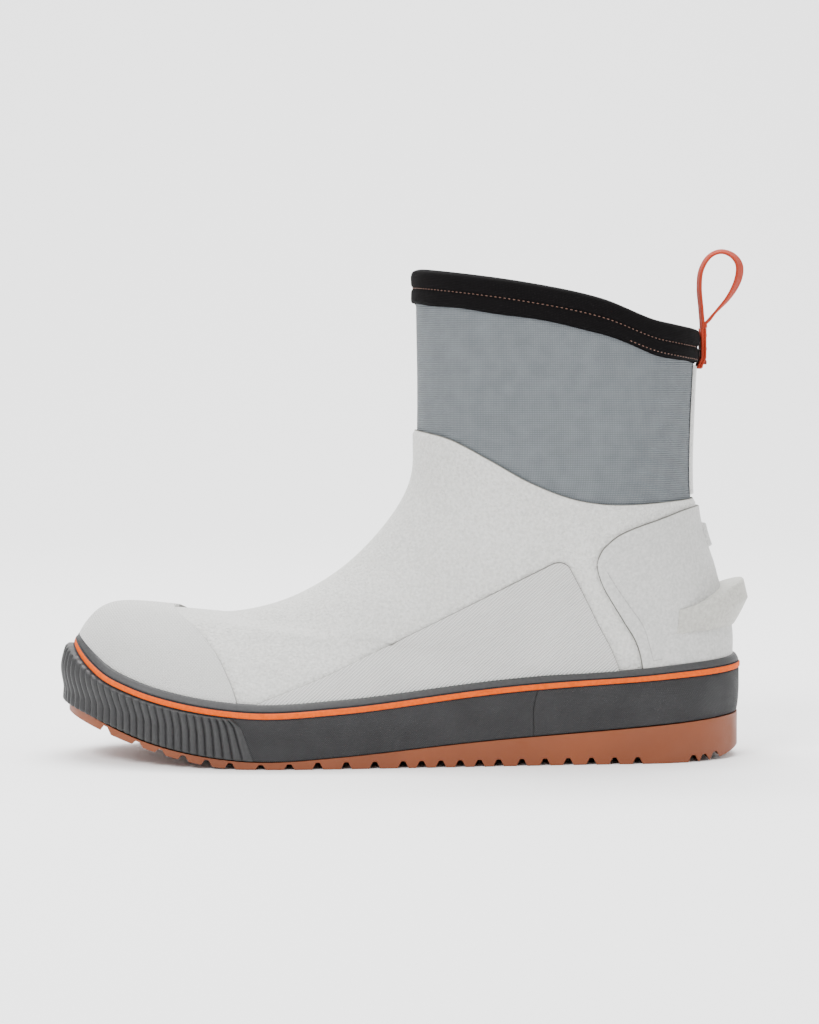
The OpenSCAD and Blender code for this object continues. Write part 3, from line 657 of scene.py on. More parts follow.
# painted shade: a thin dark line along the edges of the cap, panels and counter, where their step casts shadow
for mat in (capMat, panelMat, counterMat):
    paintedEdgeShade(mat, 0.4, overlay["line"], 0.1)
# the counter's moulded groove (inside, width, depth) and the painted shade in it (strength, dark colour)
counterLine = {"inside": 7.5, "width": 0.5, "strength": 0.32, "depth": 0.3, "dark": (0.02, 0.02, 0.018)}
paintedGrooveShade(counterMat, counterLine["inside"], counterLine["width"], counterLine["strength"], counterLine["dark"])


def overlayOut(p, fall):
    # the outer face of an overlay, whose share fall of its thickness is lost at its edge
    full = layers["bond"] + layers["overlay"]
    return full - (layers["overlay"] - overlay["clear"]) * fall + shell["wave"] * 0.6 * ripple(p, 46, 3)


def overlayPiece(name, a, vLow, vHigh, rows, mat, slot, lowEdge=False, lines=None):
    # a skin over the shell whose edges are rounded down to it
    keep = vHigh - vLow > 0.02
    a, vLow, vHigh = a[keep], vLow[keep], vHigh[keep]

    def out(p, low, high):
        edge = rounded(high, overlay["edge"])
        if lowEdge:
            edge = np.maximum(edge, rounded(low, overlay["edge"]))
        d = overlayOut(p, edge)
        return d if lines is None else d + lines(p, low, high)
    near = []

    def outNear(p, low, high):
        # also keeps how far each point is from the edge, where the painted edge shade shows; the counter has
        # none away from its edges at the back and top, and the other pieces have none near the middle, where
        # the edge is seen end-on
        away = np.minimum(high, low) if lowEdge else high
        plain = (away > 3) & ((p[..., 0] > 112) | (p[..., 2] > 84))
        crest = 4 * smooth((13 - np.abs(p[..., 1])) / 7)
        near.append(np.where(plain, 50, away) if lowEdge else away + crest)
        return out(p, low, high)
    outer, inner = strip(a, vLow, vHigh, rows, outNear, -overlay["inset"], 1.0)
    dress(wrap(name, outer, inner, closed=False, edge=near[0]), mat, slot)


def foxV(a, drop=3.0):
    return vAt(a, foxingTop(along(a)) - drop)


capEdge = placedLine([[-113, 62], [-109, 59], [-101, 54], [-91, 47], [-83, 38], [-78, 29], [-74, 19], [-72, 8]])
a = np.linspace(-62, 62, 260)
high = vAt(a, vLine(capEdge), hi=5.2)
overlayPiece("toe cap", a, foxV(a), high, 90, capMat, "toe_cap")

panelEdge = placedLine([[-68, 16.3], [-62, 18.8], [-33.7, 29.8], [0, 46], [30, 60.8], [59, 75.3], [65, 77.9],
                        [69.5, 76.8], [72.3, 72.5], [82, 53.3], [93, 29.8], [95, 12]])
for name, sign in (("lateral", 1), ("medial", -1)):
    x = np.concatenate([np.linspace(-67, -56, 40), np.linspace(-55, 60, 160), np.linspace(60.5, 94, 130)])
    z0 = foxingTop(lastShare(x)) - 3
    z1 = over(panelEdge, x)
    x, z0, z1 = (q[z1 - z0 > 0.8] for q in (x, z0, z1))
    f = 0.5 - 0.5 * np.cos(math.pi * np.linspace(0, 1, 110))
    vs, angle = bySide(x[:, None] + 0 * f, z0[:, None] + (z1 - z0)[:, None] * f, sign)
    p, normal = lastPoint(vs, angle), lastNormal(vs, angle)
    slope = np.gradient(z1, x)
    # distance from the top edge, where the painted edge shade falls
    fromTop = (z1[:, None] - z0[:, None]) * (1 - f) / np.sqrt(1 + slope ** 2)[:, None]
    d = overlayOut(p, rounded(fromTop, overlay["edge"]))
    outer, inner = p + d[..., None] * normal, p - overlay["inset"] * normal
    if sign < 0:
        outer, inner, fromTop = outer[::-1], inner[::-1], fromTop[::-1]
    dress(wrap(name + " side panel", outer, inner, closed=False, edge=fromTop), panelMat, name + "_side_panel")

counterTop = placedLine([[82.5, 76.5], [83.1, 79.6], [85.5, 84], [93, 90], [109, 95.7], [130, 101], [170, 98]])
counterLow = placedLine([[82.5, 76.5], [83.0, 73.2], [85.5, 66.5], [94.5, 51.5], [100.5, 41], [103, 30],
                         [104.5, 12]])


def faintLine(p, low, high):
    # a shallow moulded line that runs inside the edge
    off = (np.minimum(low, high) - counterLine["inside"]) / counterLine["width"]
    return -counterLine["depth"] * np.exp(-off ** 2) * smooth((112 - p[..., 0]) / 6)


scan = np.linspace(92, 125, 3000)
first = scan[np.argmax(vAt(scan, vLine(counterTop)) - vAt(scan, vLine(counterLow)) > 0.03)]
side = first + (140 - first) * np.linspace(0, 1, 230) ** 2
a = np.concatenate([side, np.linspace(140.5, 219.5, 140), (360 - side)[::-1]])
low = np.maximum(foxV(a), vAt(a, vLine(counterLow)))
high = vAt(a, vLine(counterTop))
low = np.where(high - low > 0.02, low, high)
overlayPiece("heel counter", a, low, high, 110, counterMat, "heel_counter", lowEdge=True, lines=faintLine)

# kick-off lug, heel tab and tape up the back
lug = {"reach": 10.0, "height": 17.0, "foot": 48, "droop": 2.3, "span": 46.67, "taper": 1.6, "columns": 161,
       "color": (0.385, 0.38, 0.35)}
lugSection = np.array([[0, 0.03], [0.26, 0.5], [0.5, 0.93], [0.74, 0.97], [0.95, 1], [1, 0.96]])
lugBase = 2 * layers["bond"] + layers["overlay"]
lugZ = last["stack"] + lug["foot"] * last["kz"]
a = np.linspace(180 - lug["span"], 180 + lug["span"], lug["columns"])
fade = np.maximum(0, 1 - ((a - 180) / (lug["span"] + 3)) ** 2) ** lug["taper"]
share = np.interp(np.linspace(0, 1, 61), np.linspace(0, 1, 6), lugSection[:, 0])
reach = np.interp(share, lugSection[:, 0], lugSection[:, 1])
zs = lugZ - lug["droop"] * (1 - fade)[:, None] + share[None, :] * lug["height"] * mix(0.6, 1, fade)[:, None]
vs = vAt(np.broadcast_to(a[:, None], zs.shape), zs)
aa = np.broadcast_to(a[:, None], zs.shape)
p, normal = lastPoint(vs, aa), lastNormal(vs, aa)
d = mix(lugBase - 0.4, lugBase + 0.5, clamp01(fade * 3))[:, None]
d = d + lug["reach"] * reach[None, :] * fade[:, None] + 0.06 * ripple(p, 9, 11)
lugMat = rubberMaterial("lug rubber", lug["color"], 0.55, 0.00022)
outer, inner = p + d[..., None] * normal, p + (layers["bond"] + 0.6) * normal
dress(wrap("kick-off lug", outer, inner, closed=False, sharp=22), lugMat, "kick_off_lug")


def backPad(name, halfWidth, z0, z1, base, thick, slot, edge=0.6, n=(33, 41)):
    # a small pad on the back seam with rounded edges
    a = np.linspace(180 - halfWidth, 180 + halfWidth, n[0])
    vLow, vHigh = vAt(a, z0), vAt(a, z1)
    across = np.abs(a - 180) / halfWidth

    def out(p, low, high):
        side = (1 - across)[:, None] * np.linalg.norm(lastPoint(4, 180 + halfWidth) - lastPoint(4, 180))
        fall = np.maximum.reduce([rounded(low, edge), rounded(high, edge), rounded(side + 0 * low, edge)])
        return base + thick * (1 - 0.85 * fall)
    outer, inner = strip(a, vLow, vHigh, n[1], out, base, 1.0)
    dress(wrap(name, outer, inner, closed=False), padMat, slot)


padMat = rubberMaterial("pale rubber trim", (0.58, 0.58, 0.565), 0.5)
tab = {"low": 82, "high": 92.6, "halfWidth": 7, "thick": 1.8}
backPad("heel tab", tab["halfWidth"], last["stack"] + tab["low"] * last["kz"],
        last["stack"] + tab["high"] * last["kz"], lugBase - 0.3, tab["thick"], "heel_tab")
tapeTop = vAt(np.array([180.0]), vLine(topLine))[0]
tapeHighZ = lastPoint(tapeTop, 180)[2] - 14.5
tapeLowZ = lastPoint(vAt(np.array([180.0]), vLine(rubberEdge))[0], 180)[2] + 1.5
backPad("backstay tape", 13, tapeLowZ, tapeHighZ, neopreneD + 0.1, 1.1, "backstay_tape", 0.5, (41, 121))
print("overlays, lug and back trim are built")


# bands round the sole
def onWall(a, z):
    # the points of the last's wall at angles a and heights z
    p = lastPoint(vAt(a, z), a)
    p[..., 2] = z
    return p


def band(name, a, low, high, n, dOut, dIn, mat, slot, closed=False, ends=0.0):
    # a strip between two lines; dOut takes the heights above its low line and below its high one
    f = np.linspace(0, 1, n)
    s = along(a)
    lo, hi = low(s)[:, None], high(s)[:, None]
    z = lo + (hi - lo) * f[None, :]
    aa = np.broadcast_to(a[:, None], z.shape)
    base, normal = onWall(aa, z), planNormal(aa)
    d = dOut(a, z - lo, hi - z, base) - ends
    dress(wrap(name, base + d[..., None] * normal, base + dIn * normal, closed=closed), mat, slot)


foxing = {"color": (0.031, 0.031, 0.0325), "rough": 0.6, "texture": 0.85, "depth": 0.0005, "bow": 0.22,
          "groove": 0.5, "toeSetBack": 1.8, "splice": 0.69, "rows": 60, "inner": 0.1}


def setBack(a, most):
    # what a strip gives way at the very toe
    return most * np.maximum(0, 1 - along(a) / 0.06)[:, None]


def crossed(name, color, rough, pitch, depth):
    mat = newMaterial(name, color, rough, Specular_IOR_Level=0.2)
    axis = axes(mat)
    one = ridge(mat, calc(mat, "ADD", axis[0], axis[1]), pitch)
    two = ridge(mat, calc(mat, "SUBTRACT", axis[0], axis[1]), pitch)
    cross = calc(mat, "MULTIPLY", one, two)
    shade = weighed(mat, cross, 0.5, noise(mat, 45, 4), 0.7)
    tint(mat, shade, 0.25, 0.8, toned(color, 0.66), toned(color, 1.36))
    wear(mat, 70, rough - 0.08, rough + 0.1)
    useNormal(mat, bump(mat, cross, depth, 0.8, bump(mat, noise(mat, 1200, 2), 0.00005, 0.5)))
    return mat


foxingMat = crossed("dark foxing rubber", foxing["color"], foxing["rough"], foxing["texture"], foxing["depth"])
spliceA = math.degrees(math.acos(1 - 2 * foxing["splice"]))


def foxingOut(a, below, above, base):
    share = below / (below + above)
    bow = sole["foxing"] + foxing["bow"] * np.sin(math.pi * clamp01(share))
    groove = foxing["groove"] * np.exp(-((above - sole["stripe"] - 0.65) / 0.28) ** 2)
    toe = setBack(a, foxing["toeSetBack"]) * smooth((share - 0.3) / 0.7)
    edges = 0.3 * rounded(below, 0.3) + 0.5 * rounded(above, 0.6)
    return bow - groove - toe - edges + 0.05 * ripple(base, 25, 9)


def endFall(a, a0, a1, drop, width):
    # the thickness falls away at the ends of a strip
    near = np.minimum(np.abs(a - a0), np.abs(a - a1)) * 1.3
    return (drop * rounded(near, width))[:, None]


for name, a0, a1, n in (("front", -spliceA, spliceA, 460), ("heel", spliceA + 0.06, 359.94 - spliceA, 400)):
    a = np.concatenate([[a0], np.linspace(a0 + 0.1, a1 - 0.1, n), [a1]])
    band(name + " foxing", a, edgeZ, foxingLip, foxing["rows"], foxingOut, foxing["inner"], foxingMat,
         name + "_foxing", ends=endFall(a, a0, a1, 0.25, 0.3))

topStrip = {"color": (0.03, 0.03, 0.031), "bevel": 1.5, "toeSetBack": 2.0}
topStripMat = rubberMaterial("grey bevelled strip", topStrip["color"], 0.5, 0.0001, 0.3)


def topStripOut(a, below, above, base):
    bevel = topStrip["bevel"] * (below / (below + above)) ** 1.6
    return (sole["foxing"] - 0.15 - bevel - setBack(a, topStrip["toeSetBack"])
            - 0.45 * rounded(below, 0.5) - 0.3 * rounded(above, 0.5))


band("foxing top strip", ring(480), lambda s: foxingLip(s) + 0.1, foxingTop, 22, topStripOut, 0.1, topStripMat,
     "foxing_top_strip", closed=True)

stripe = {"color": (0.56, 0.075, 0.0), "proud": 0.5, "gap": 0.4, "round": 0.7, "toeSetBack": 2.2}
stripeMat = rubberMaterial("orange stripe", stripe["color"], 0.6, 0.00008, 0.1)


def stripeOut(a, below, above, base):
    return (sole["foxing"] + stripe["proud"] - setBack(a, stripe["toeSetBack"])
            - 0.5 * rounded(below, stripe["round"]) - 0.5 * rounded(above, stripe["round"]))


band("pinstripe", ring(480), lambda s: foxingLip(s) - stripe["gap"] - sole["stripe"],
     lambda s: foxingLip(s) - stripe["gap"], 18, stripeOut, 1.0, stripeMat, "pinstripe", closed=True)

bumper = {"ribs": 58, "perRib": 10, "rib": 1.25, "reach": 0.265, "slant": 6.5, "corner": 2.5, "lean": 1.7,
          "proud": 0.35, "centre": (-72.0, 2.0), "levels": 36, "color": (0.024, 0.024, 0.0248)}
bumperMat = rubberMaterial("toe bumper rubber", bumper["color"], 0.45, 0.00008, 0.3)
f = np.linspace(0, 1, bumper["levels"])
reachA = math.degrees(math.acos(1 - 2 * (bumper["reach"] + 0.05)))
dense = np.linspace(-reachA, reachA, 900)


def bumperZ(a):
    s = along(a)
    return edgeZ(s) + 0.15, foxingLip(s) - sole["stripe"] - 1.1


def atShare(a, f):
    low, high = bumperZ(a)
    return onWall(a, mix(low, high, f))


def bearingOf(p):
    # the direction of points from the middle of the toe
    return np.degrees(np.arctan2(p[:, 1] - bumper["centre"][1], bumper["centre"][0] - p[:, 0]))


# every rib keeps one bearing from the bottom to the top, and the end ones slant
count = bumper["ribs"] * bumper["perRib"] + 1
turns = np.linspace(-1, 1, count)
middle = atShare(dense, np.full(dense.shape, 0.5))
run = travel(middle[:, :2])
run -= np.interp(0, dense, run)
endRun = np.interp(math.degrees(math.acos(1 - 2 * (bumper["reach"] - 0.002))), dense, run)
aa = np.zeros((count, len(f)))
for k, share in enumerate(f):
    shift = bumper["slant"] * (0.5 - share) - bumper["corner"] * max(0, (share - 0.75) / 0.25) ** 2
    lengthHere = turns * (endRun + shift * np.abs(turns) ** 10)
    wanted = np.interp(np.interp(lengthHere, run, dense), dense, bearingOf(middle))
    here = bearingOf(atShare(dense, np.full(dense.shape, share)))
    order = np.argsort(here)
    aa[:, k] = np.interp(wanted, here[order], dense[order])
low, high = bumperZ(aa)
z = mix(low, high, f[None, :])
base, normal = onWall(aa, z), planNormal(aa)
phase = np.arange(count) / bumper["perRib"] * 2 * math.pi
ribs = np.abs(np.sin(phase / 2))[:, None] ** 0.9
upper = clamp01((high - z) / 1.5)
lower = clamp01((z - low) / 0.6)
fromEnd = clamp01(np.minimum(np.arange(count), count - 1 - np.arange(count)) / bumper["perRib"])[:, None]
rise = sole["bumper"] - bumper["rib"] * (1 - ribs) * np.minimum(1, upper * 1.5)
rise = rise * np.sqrt(1 - (1 - upper) ** 2 * 0.9) * np.sqrt(1 - (1 - lower) ** 2 * 0.6)
rise = rise * (0.15 + 0.85 * fromEnd ** 0.5)
upright = bumper["lean"] * np.maximum(0, 1 - along(aa) / 0.08) * (1 - f[None, :]) ** 1.2
d = sole["foxing"] + bumper["proud"] + rise + upright
outer, inner = base + d[..., None] * normal, base + 1.5 * normal
dress(wrap("toe bumper", outer, inner, closed=False), bumperMat, "toe_bumper")
print("foxing, stripe and bumper are built")

# outsole
tread = {"mouth": 4.8, "taper": 1.6, "channel": (6.0, 10.0), "reach": 0.45, "color": (0.155, 0.04, 0.0125)}
grooveZones = [[-132, 12, 1], [-117.5, 10.2, 5], [-63.5, 12.3, 6], [6, 8.4, 5], [49.8, 10.2, 6], [126, 5.1, 3]]
grooves = [start + i * gap for start, gap, n in grooveZones for i in range(n)]
soleFront = lastPoint(0, 0)[0] - sole["foxing"]
soleBack = lastPoint(0, 180)[0] + sole["foxing"]


def shareOf(x):
    return clamp01((x - soleFront) / (soleBack - soleFront))


outline = wall(ring(1440), 0, sole["foxing"] + tread["reach"])[:, :2]
half = len(outline) // 2
sides = []
for part in (outline[:half + 1], np.concatenate([outline[half:], outline[:1]])):
    sides.append(part[np.argsort(part[:, 0])])
x0, x1 = outline[:, 0].min(), outline[:, 0].max()
ease = 0.5 - 0.5 * np.cos(math.pi * np.linspace(0, 1, 60))
xs = [x0 + 0.02, x1 - 0.02] + list(x0 + 0.02 + 12 * ease ** 1.5) + list(x1 - 0.02 - 12 * ease ** 1.5)
xs += list(np.arange(x0 + 12, x1 - 12, 1.0))
h, t = tread["mouth"] / 2, tread["taper"]
for g in grooves:
    xs += [g + k for k in (-h - 0.35, -h - 0.12, -h, -h + 0.12, -h + t - 0.12, -h + t + 0.1, 0,
                           h - t - 0.1, h - t + 0.12, h - 0.12, h, h + 0.12, h + 0.35)]
xs = np.array(sorted(xs))
xs = xs[np.concatenate([[True], np.diff(xs) > 0.03])]
lift = np.zeros_like(xs)
for g in grooves:
    lift = np.maximum(lift, clamp01((h - np.abs(xs - g)) / t))
s = shareOf(xs)
under = floorZ(s)
yOuter = np.interp(xs, sides[0][:, 0], sides[0][:, 1])
yInner = np.interp(xs, sides[1][:, 0], sides[1][:, 1])
yOuter, yInner = np.minimum(yOuter, yInner), np.maximum(yOuter, yInner)
topZ = edgeZ(s) - layers["bond"]
deep = np.minimum(sole["lug"], topZ - under - 1.0)
bottom = under + lift * deep
width = yInner - yOuter
bandW = np.minimum(1, width / 60)
c0, c1 = tread["channel"]
# the underside from the edge inwards: distance in, and how far it is off the tread's face; 1 is the channel
section = [(0, 0.55), (0.18, 0.16), (0.55, 0), (2.5, 0), (c0 - 0.3, 0), (c0 + 0.3, 1), (c1 - 0.3, 1),
           (c1 + 0.3, 0), (16, 0)]
channelZ = np.maximum(bottom, under + (deep - 0.5) * np.where(width > 45, 1, 0))
lines = []
for start, inward, order in ((yOuter, bandW, section), (yInner, -bandW, section[::-1])):
    for far, off in order:
        z = channelZ if off == 1 else bottom + (off * 0.6 if far < 1 else 0)
        lines.append((start + far * inward, z))
lines += [(yInner, mix(bottom + 0.4, topZ, f)) for f in (0.08, 0.5, 0.92, 1.0)]
lines += [(mix(yInner, yOuter, f), topZ) for f in (0.25, 0.5, 0.75)]
lines += [(yOuter, mix(bottom + 0.4, topZ, f)) for f in (1.0, 0.92, 0.5, 0.08)]
grid = np.stack([np.stack([xs, y, z], -1) for y, z in lines], 1)


def tube(name, grid, sharp, closedAlong=False):
    # a solid through a row of closed sections, with flat ends unless it closes on itself
    n, m = grid.shape[:2]
    j = np.arange(n if closedAlong else n - 1)
    i = np.arange(m)
    jj, ii = np.meshgrid(j, i, indexing="ij")
    kk, i2 = (jj + 1) % n, (ii + 1) % m
    faces = np.stack([jj * m + ii, jj * m + i2, kk * m + i2, kk * m + ii], -1).reshape(-1, 4)
    lengthAlong = travel(grid.mean(1))
    lengthAlong = np.append(lengthAlong, lengthAlong[-1] + np.linalg.norm(grid[0].mean(0) - grid[-1].mean(0)))
    girth = travel(np.concatenate([grid, grid[:, :1]], 1), 1)
    u = np.stack([lengthAlong[jj], lengthAlong[jj], lengthAlong[jj + 1], lengthAlong[jj + 1]], -1)
    v = np.stack([girth[jj, ii], girth[jj, ii + 1], girth[kk, ii + 1], girth[kk, ii]], -1)
    uvList = [np.stack([u, v], -1).reshape(-1, 2)]
    faceList = faces.tolist()
    if not closedAlong:
        for at, flip in ((0, False), (n - 1, True)):
            cap = [at * m + k for k in range(m)]
            faceList.append(cap if flip else cap[::-1])
            uvList.append(np.stack([girth[at, :m], np.zeros(m)], -1))
    return finishMesh(name, place(grid.reshape(-1, 3)), faceList, np.concatenate(uvList), sharp)


def outward(obj):
    # faces are turned so that they look out
    b = bmesh.new()
    b.from_mesh(obj.data)
    bmesh.ops.recalc_face_normals(b, faces=b.faces)
    b.to_mesh(obj.data)
    b.free()
    return obj


gumMat = newMaterial("gum rubber", tread["color"], 0.5, Specular_IOR_Level=0.3)
tint(gumMat, noise(gumMat, 18, 5), 0.35, 0.68, toned(tread["color"], 0.86), toned(tread["color"], 1.12))
wear(gumMat, 90, 0.42, 0.62)
grain = bump(gumMat, noise(gumMat, 190, 3), 0.00015, 0.4)
useNormal(gumMat, bump(gumMat, noise(gumMat, 1100, 2), 0.00006, 0.5, grain))
dress(outward(tube("gum outsole", grid, 30)), gumMat, "outsole")
print("outsole is built")

# collar binding and its stitches
collar = {"puckers": 90, "height": 13.0, "thick": 1.5, "columns": 640, "gap": 2.1, "stitch": 1.05, "clear": 12,
          "lowerFrom": 96, "color": (0.0028, 0.0024, 0.0026), "thread": (0.13, 0.042, 0.016)}
rimOut, rimIn = neopreneD, liningD - layers["lining"]


def byCollar(a, h, d):
    a, h, d = np.broadcast_arrays(np.asarray(a, float), np.asarray(h, float), np.asarray(d, float))
    v = vAt(a, vLine(topLine))
    p, q, normal = lastPoint(v, a), lastPoint(v - 0.2, a), lastNormal(v, a)
    return p + (p - q) / (p - q)[..., 2:3] * h[..., None] + d[..., None] * normal


bh, bt, bond = collar["height"], collar["thick"], layers["bond"]
drop = bh * 0.5
face, back, crown = rimOut + bond, rimIn - bond, (rimOut + rimIn) / 2
# height from the edge of the neoprene and distance out from the last: up the outside, over and down inside
profile = np.array([
    [-bh, face + 0.1], [-bh * 0.985, face + bt * 0.72], [-bh * 0.93, face + bt], [-bh * 0.78, face + bt * 1.02],
    [-bh * 0.62, face + bt * 0.94], [-drop - 0.55, face + bt * 0.62], [-drop, face + bt * 0.4],
    [-drop + 0.55, face + bt * 0.62], [-bh * 0.38, face + bt * 0.96], [-bh * 0.24, face + bt * 1.02],
    [-bh * 0.1, face + bt], [bond + bt * 0.3, rimOut + bt * 0.72], [bond + bt * 0.85, crown + 1.6],
    [bond + bt, crown], [bond + bt * 0.85, crown - 1.6], [bond + bt * 0.3, rimIn - bt * 0.72],
    [-bh * 0.1, back - bt], [-bh * 0.4, back - bt * 0.7], [-bh * 0.85, back - 0.5], [-bh * 0.86, rimIn + 0.2],
    [-bh * 0.3, rimIn + 0.3], [0.1, crown], [-bh * 0.3, rimOut - 0.3], [-bh, rimOut - 0.2]])
t = np.linspace(0, len(profile), 110, endpoint=False)
wrapped = np.vstack([profile, profile[:1]])
fine = curveRows(wrapped, t)
a = ring(collar["columns"])
aa, hh = np.meshgrid(a, fine[:, 0], indexing="ij")
dd = np.broadcast_to(fine[:, 1], aa.shape).copy()
base = byCollar(aa, hh, 0 * dd)
stitchPhase = a * collar["puckers"] / 360
tight = (0.5 + 0.5 * np.cos(2 * math.pi * stitchPhase))[:, None]
nearSeam = np.exp(-((hh + drop) / 1.6) ** 2) * (dd > rimOut)
puff = (dd > rimOut + 0.3) | (dd < rimIn - 0.3)
dd += -0.22 * tight * nearSeam + puff * (0.12 * ripple(base, 13, 21) + 0.05 * ripple(base, 4, 22))
hh = hh + 0.25 * np.sin(2 * math.pi * stitchPhase * 0.11)[:, None] * (hh < -bh * 0.9)
grid = byCollar(aa, hh, dd)
bindingMat = newMaterial("near-black binding", collar["color"], 0.92, Specular_IOR_Level=0.08)
axis = axes(bindingMat)
weave = crossRidges(bindingMat, 0.62, 0.7, axis)
tint(bindingMat, weave, 0, 1, toned(collar["color"], 0.55), toned(collar["color"], 2.0))
useNormal(bindingMat, bump(bindingMat, weave, 0.00012, 0.7))
dress(outward(tube("collar binding", grid, 50, closedAlong=True)), bindingMat, "collar_binding")


def threadMaterial(name, color):
    mat = newMaterial(name, color, 0.6, Sheen_Weight=0.3)
    axis = axes(mat)
    ply = ridge(mat, calc(mat, "ADD", axis[0], axis[1]), 0.5)
    tint(mat, ply, 0, 1, toned(color, 0.6), toned(color, 1.2))
    useNormal(mat, bump(mat, ply, 0.0001, 0.8))
    return mat


def capsules(name, places, length, radius, mat, slot):
    # short rounded lengths of thread: each place is a middle, a direction and the way out
    grids, n, m = [], 9, 10
    f = np.linspace(-1, 1, n)
    for mid, toward, out in places:
        side = unit(np.cross(toward, out))
        r = radius * np.sqrt(np.maximum(0.04, 1 - np.abs(f) ** 4))
        ang = np.linspace(0, 2 * math.pi, m, endpoint=False)
        line = mid + f[:, None] * length / 2 * toward - (np.abs(f) ** 3)[:, None] * radius * 1.1 * out
        spokes = np.cos(ang)[None, :, None] * out + np.sin(ang)[None, :, None] * side
        grids.append(line[:, None] + r[:, None, None] * spokes)
    verts, faces, uvs = [], [], []
    for k, g in enumerate(grids):
        start = k * n * m
        verts.append(g.reshape(-1, 3))
        for j in range(n - 1):
            for i in range(m):
                i2, here, after = (i + 1) % m, start + j * m, start + (j + 1) * m
                faces.append([here + i, here + i2, after + i2, after + i])
                u0, u1, v0, v1 = j * length / n, (j + 1) * length / n, i * 0.25, i * 0.25 + 0.25
                uvs += [(u0, v0), (u0, v1), (u1, v1), (u1, v0)]
        faces.append([start + i for i in range(m)][::-1])
        faces.append([start + (n - 1) * m + i for i in range(m)])
        uvs += [(0, i * 0.25) for i in range(m)] * 2
    obj = outward(finishMesh(name, place(np.concatenate(verts)), faces, np.array(uvs, float), 60))
    dress(obj, mat, slot)


def seam(h, lift, step, skip):
    # places for stitches at even distances round the collar
    turnsOf = np.linspace(0, 360, 1441)
    line = byCollar(turnsOf, h, lift)
    run = travel(line)
    places = []
    for length in np.arange(0, run[-1] - step / 2, step):
        at = float(np.interp(length, run, turnsOf))
        if abs(at - 180) <= skip:
            continue
        mid = byCollar(at, h, lift)
        toward = unit(byCollar(at + 0.5, h, lift) - byCollar(at - 0.5, h, lift))
        out = lastNormal(vAt(np.array([at]), vLine(topLine))[0], at)
        places.append((mid, toward, out))
    return places


threadMat = threadMaterial("brown thread", collar["thread"])
upperRow = seam(-drop, face + bt * 0.4 + 0.12, collar["gap"], collar["clear"])
lowerRow = seam(-bh * 0.93, face + bt + 0.05, collar["gap"], collar["clear"])
lowerRow = [p for p in lowerRow if p[0][0] > collar["lowerFrom"]]
capsules("collar stitching", upperRow + lowerRow, collar["stitch"], 0.2, threadMat, "collar_stitching")
print("collar is built")

# pull loop and its sewn-down ends
web = {"twist": 22.0, "hook": 1.5, "width": 11.0, "thick": 1.2, "height": 34.0, "eye": 18.0, "ply": 0.62,
       "color": (0.40, 0.04, 0.016)}
backTop = byCollar(180, 0, face + bt)
pivot = np.array([backTop[0] + 2 * bond + web["thick"], 0, backTop[2] + bt + 2])
anchorTop = pivot[2] - web["thick"] - bond
anchorLow = backTop[2] - bh - 3
eyeLine = np.array([[-0.03, 0], [-0.07, 0.25], [-0.11, 0.5], [-0.07, 0.74], [0.13, 0.93], [0.43, 1],
                    [0.73, 0.94], [0.89, 0.8], [0.84, 0.6], [0.62, 0.38], [0.3, 0.18], [0.03, 0]])
webMat = newMaterial("orange-red webbing", web["color"], 0.75, Specular_IOR_Level=0.15)
axis = axes(webMat)
slanted = calc(webMat, "ADD", axis[0], calc(webMat, "MULTIPLY", axis[1], 0.6))
twill = calc(webMat, "MULTIPLY", ridge(webMat, slanted, 1.3), ridge(webMat, axis[1], 0.9))
tint(webMat, calc(webMat, "ADD", twill, calc(webMat, "MULTIPLY", noise(webMat, 300, 3), 0.3)), 0.1, 1.1,
     toned(web["color"], 0.6), toned(web["color"], 1.15))
useNormal(webMat, bump(webMat, twill, 0.00022, 0.9))


def webbing(name, path, twist, slot, body, ribs):
    # a flat woven strip along a path of [x, z], with selvedges and a slight twist
    path = np.asarray(path, float)
    heading = np.gradient(path, axis=0)
    heading = heading / np.linalg.norm(heading, axis=1, keepdims=True)
    out = np.stack([-heading[:, 1], heading[:, 0]], -1)
    run = travel(path)
    m = 30
    ys = np.concatenate([np.linspace(-1, 1, m), np.linspace(1, -1, m)])
    sideOf = np.concatenate([np.ones(m), -np.ones(m)])
    selvedge = 1 - 0.75 * np.clip((np.abs(ys) - 0.9) / 0.1, 0, 1) ** 2
    grid = np.zeros((len(path), 2 * m, 3))
    for k in range(len(path)):
        weave = ribs * 0.5 * np.sin(2 * math.pi * (run[k] / 1.3 + ys * 2.2)) * (np.abs(ys) < 0.88)
        d = sideOf * (web["thick"] / 2 * selvedge + weave)
        y = ys * web["width"] / 2
        c, s = math.cos(twist[k]), math.sin(twist[k])
        y2, d2 = y * c - d * s, y * s + d * c
        grid[k, :, 0] = path[k, 0] + d2 * out[k, 0]
        grid[k, :, 1] = y2
        grid[k, :, 2] = path[k, 1] + d2 * out[k, 1]
    dress(outward(tube(name, grid, 50)), webMat, slot, body=body)


t = np.linspace(0.0, 11.0, 170)
eye = curveRows(eyeLine, t) * np.array([web["eye"], web["height"] - web["thick"]])
footLeft = np.stack([np.full(8, -0.6), np.linspace(-1.2, 0.6, 8)], -1)
footRight = np.stack([np.full(8, 0.6), np.linspace(0.6, -1.2, 8)], -1)
loopPath = np.concatenate([footLeft, eye[eye[:, 1] > 1.6], footRight]) + pivot[[0, 2]]
turnRun = np.linspace(0, 1, len(loopPath))
twist = np.radians(web["twist"]) * np.exp(-((turnRun - 0.66) / 0.2) ** 2)
webbing("pull loop", loopPath, twist, "pull_loop", "pull_loop", 0.1)
zs = np.linspace(anchorTop + 0.15, anchorLow + 1.2, 40)
inward = -0.4 - web["hook"] * smooth((anchorLow + 5.5 - zs) / 4.5)
turnK = np.linspace(math.pi, 2 * math.pi, 13)
ply = web["ply"]
bend = np.stack([pivot[0] + inward[-1] + ply * np.cos(turnK), anchorLow + 1.2 + ply * np.sin(turnK)], -1)
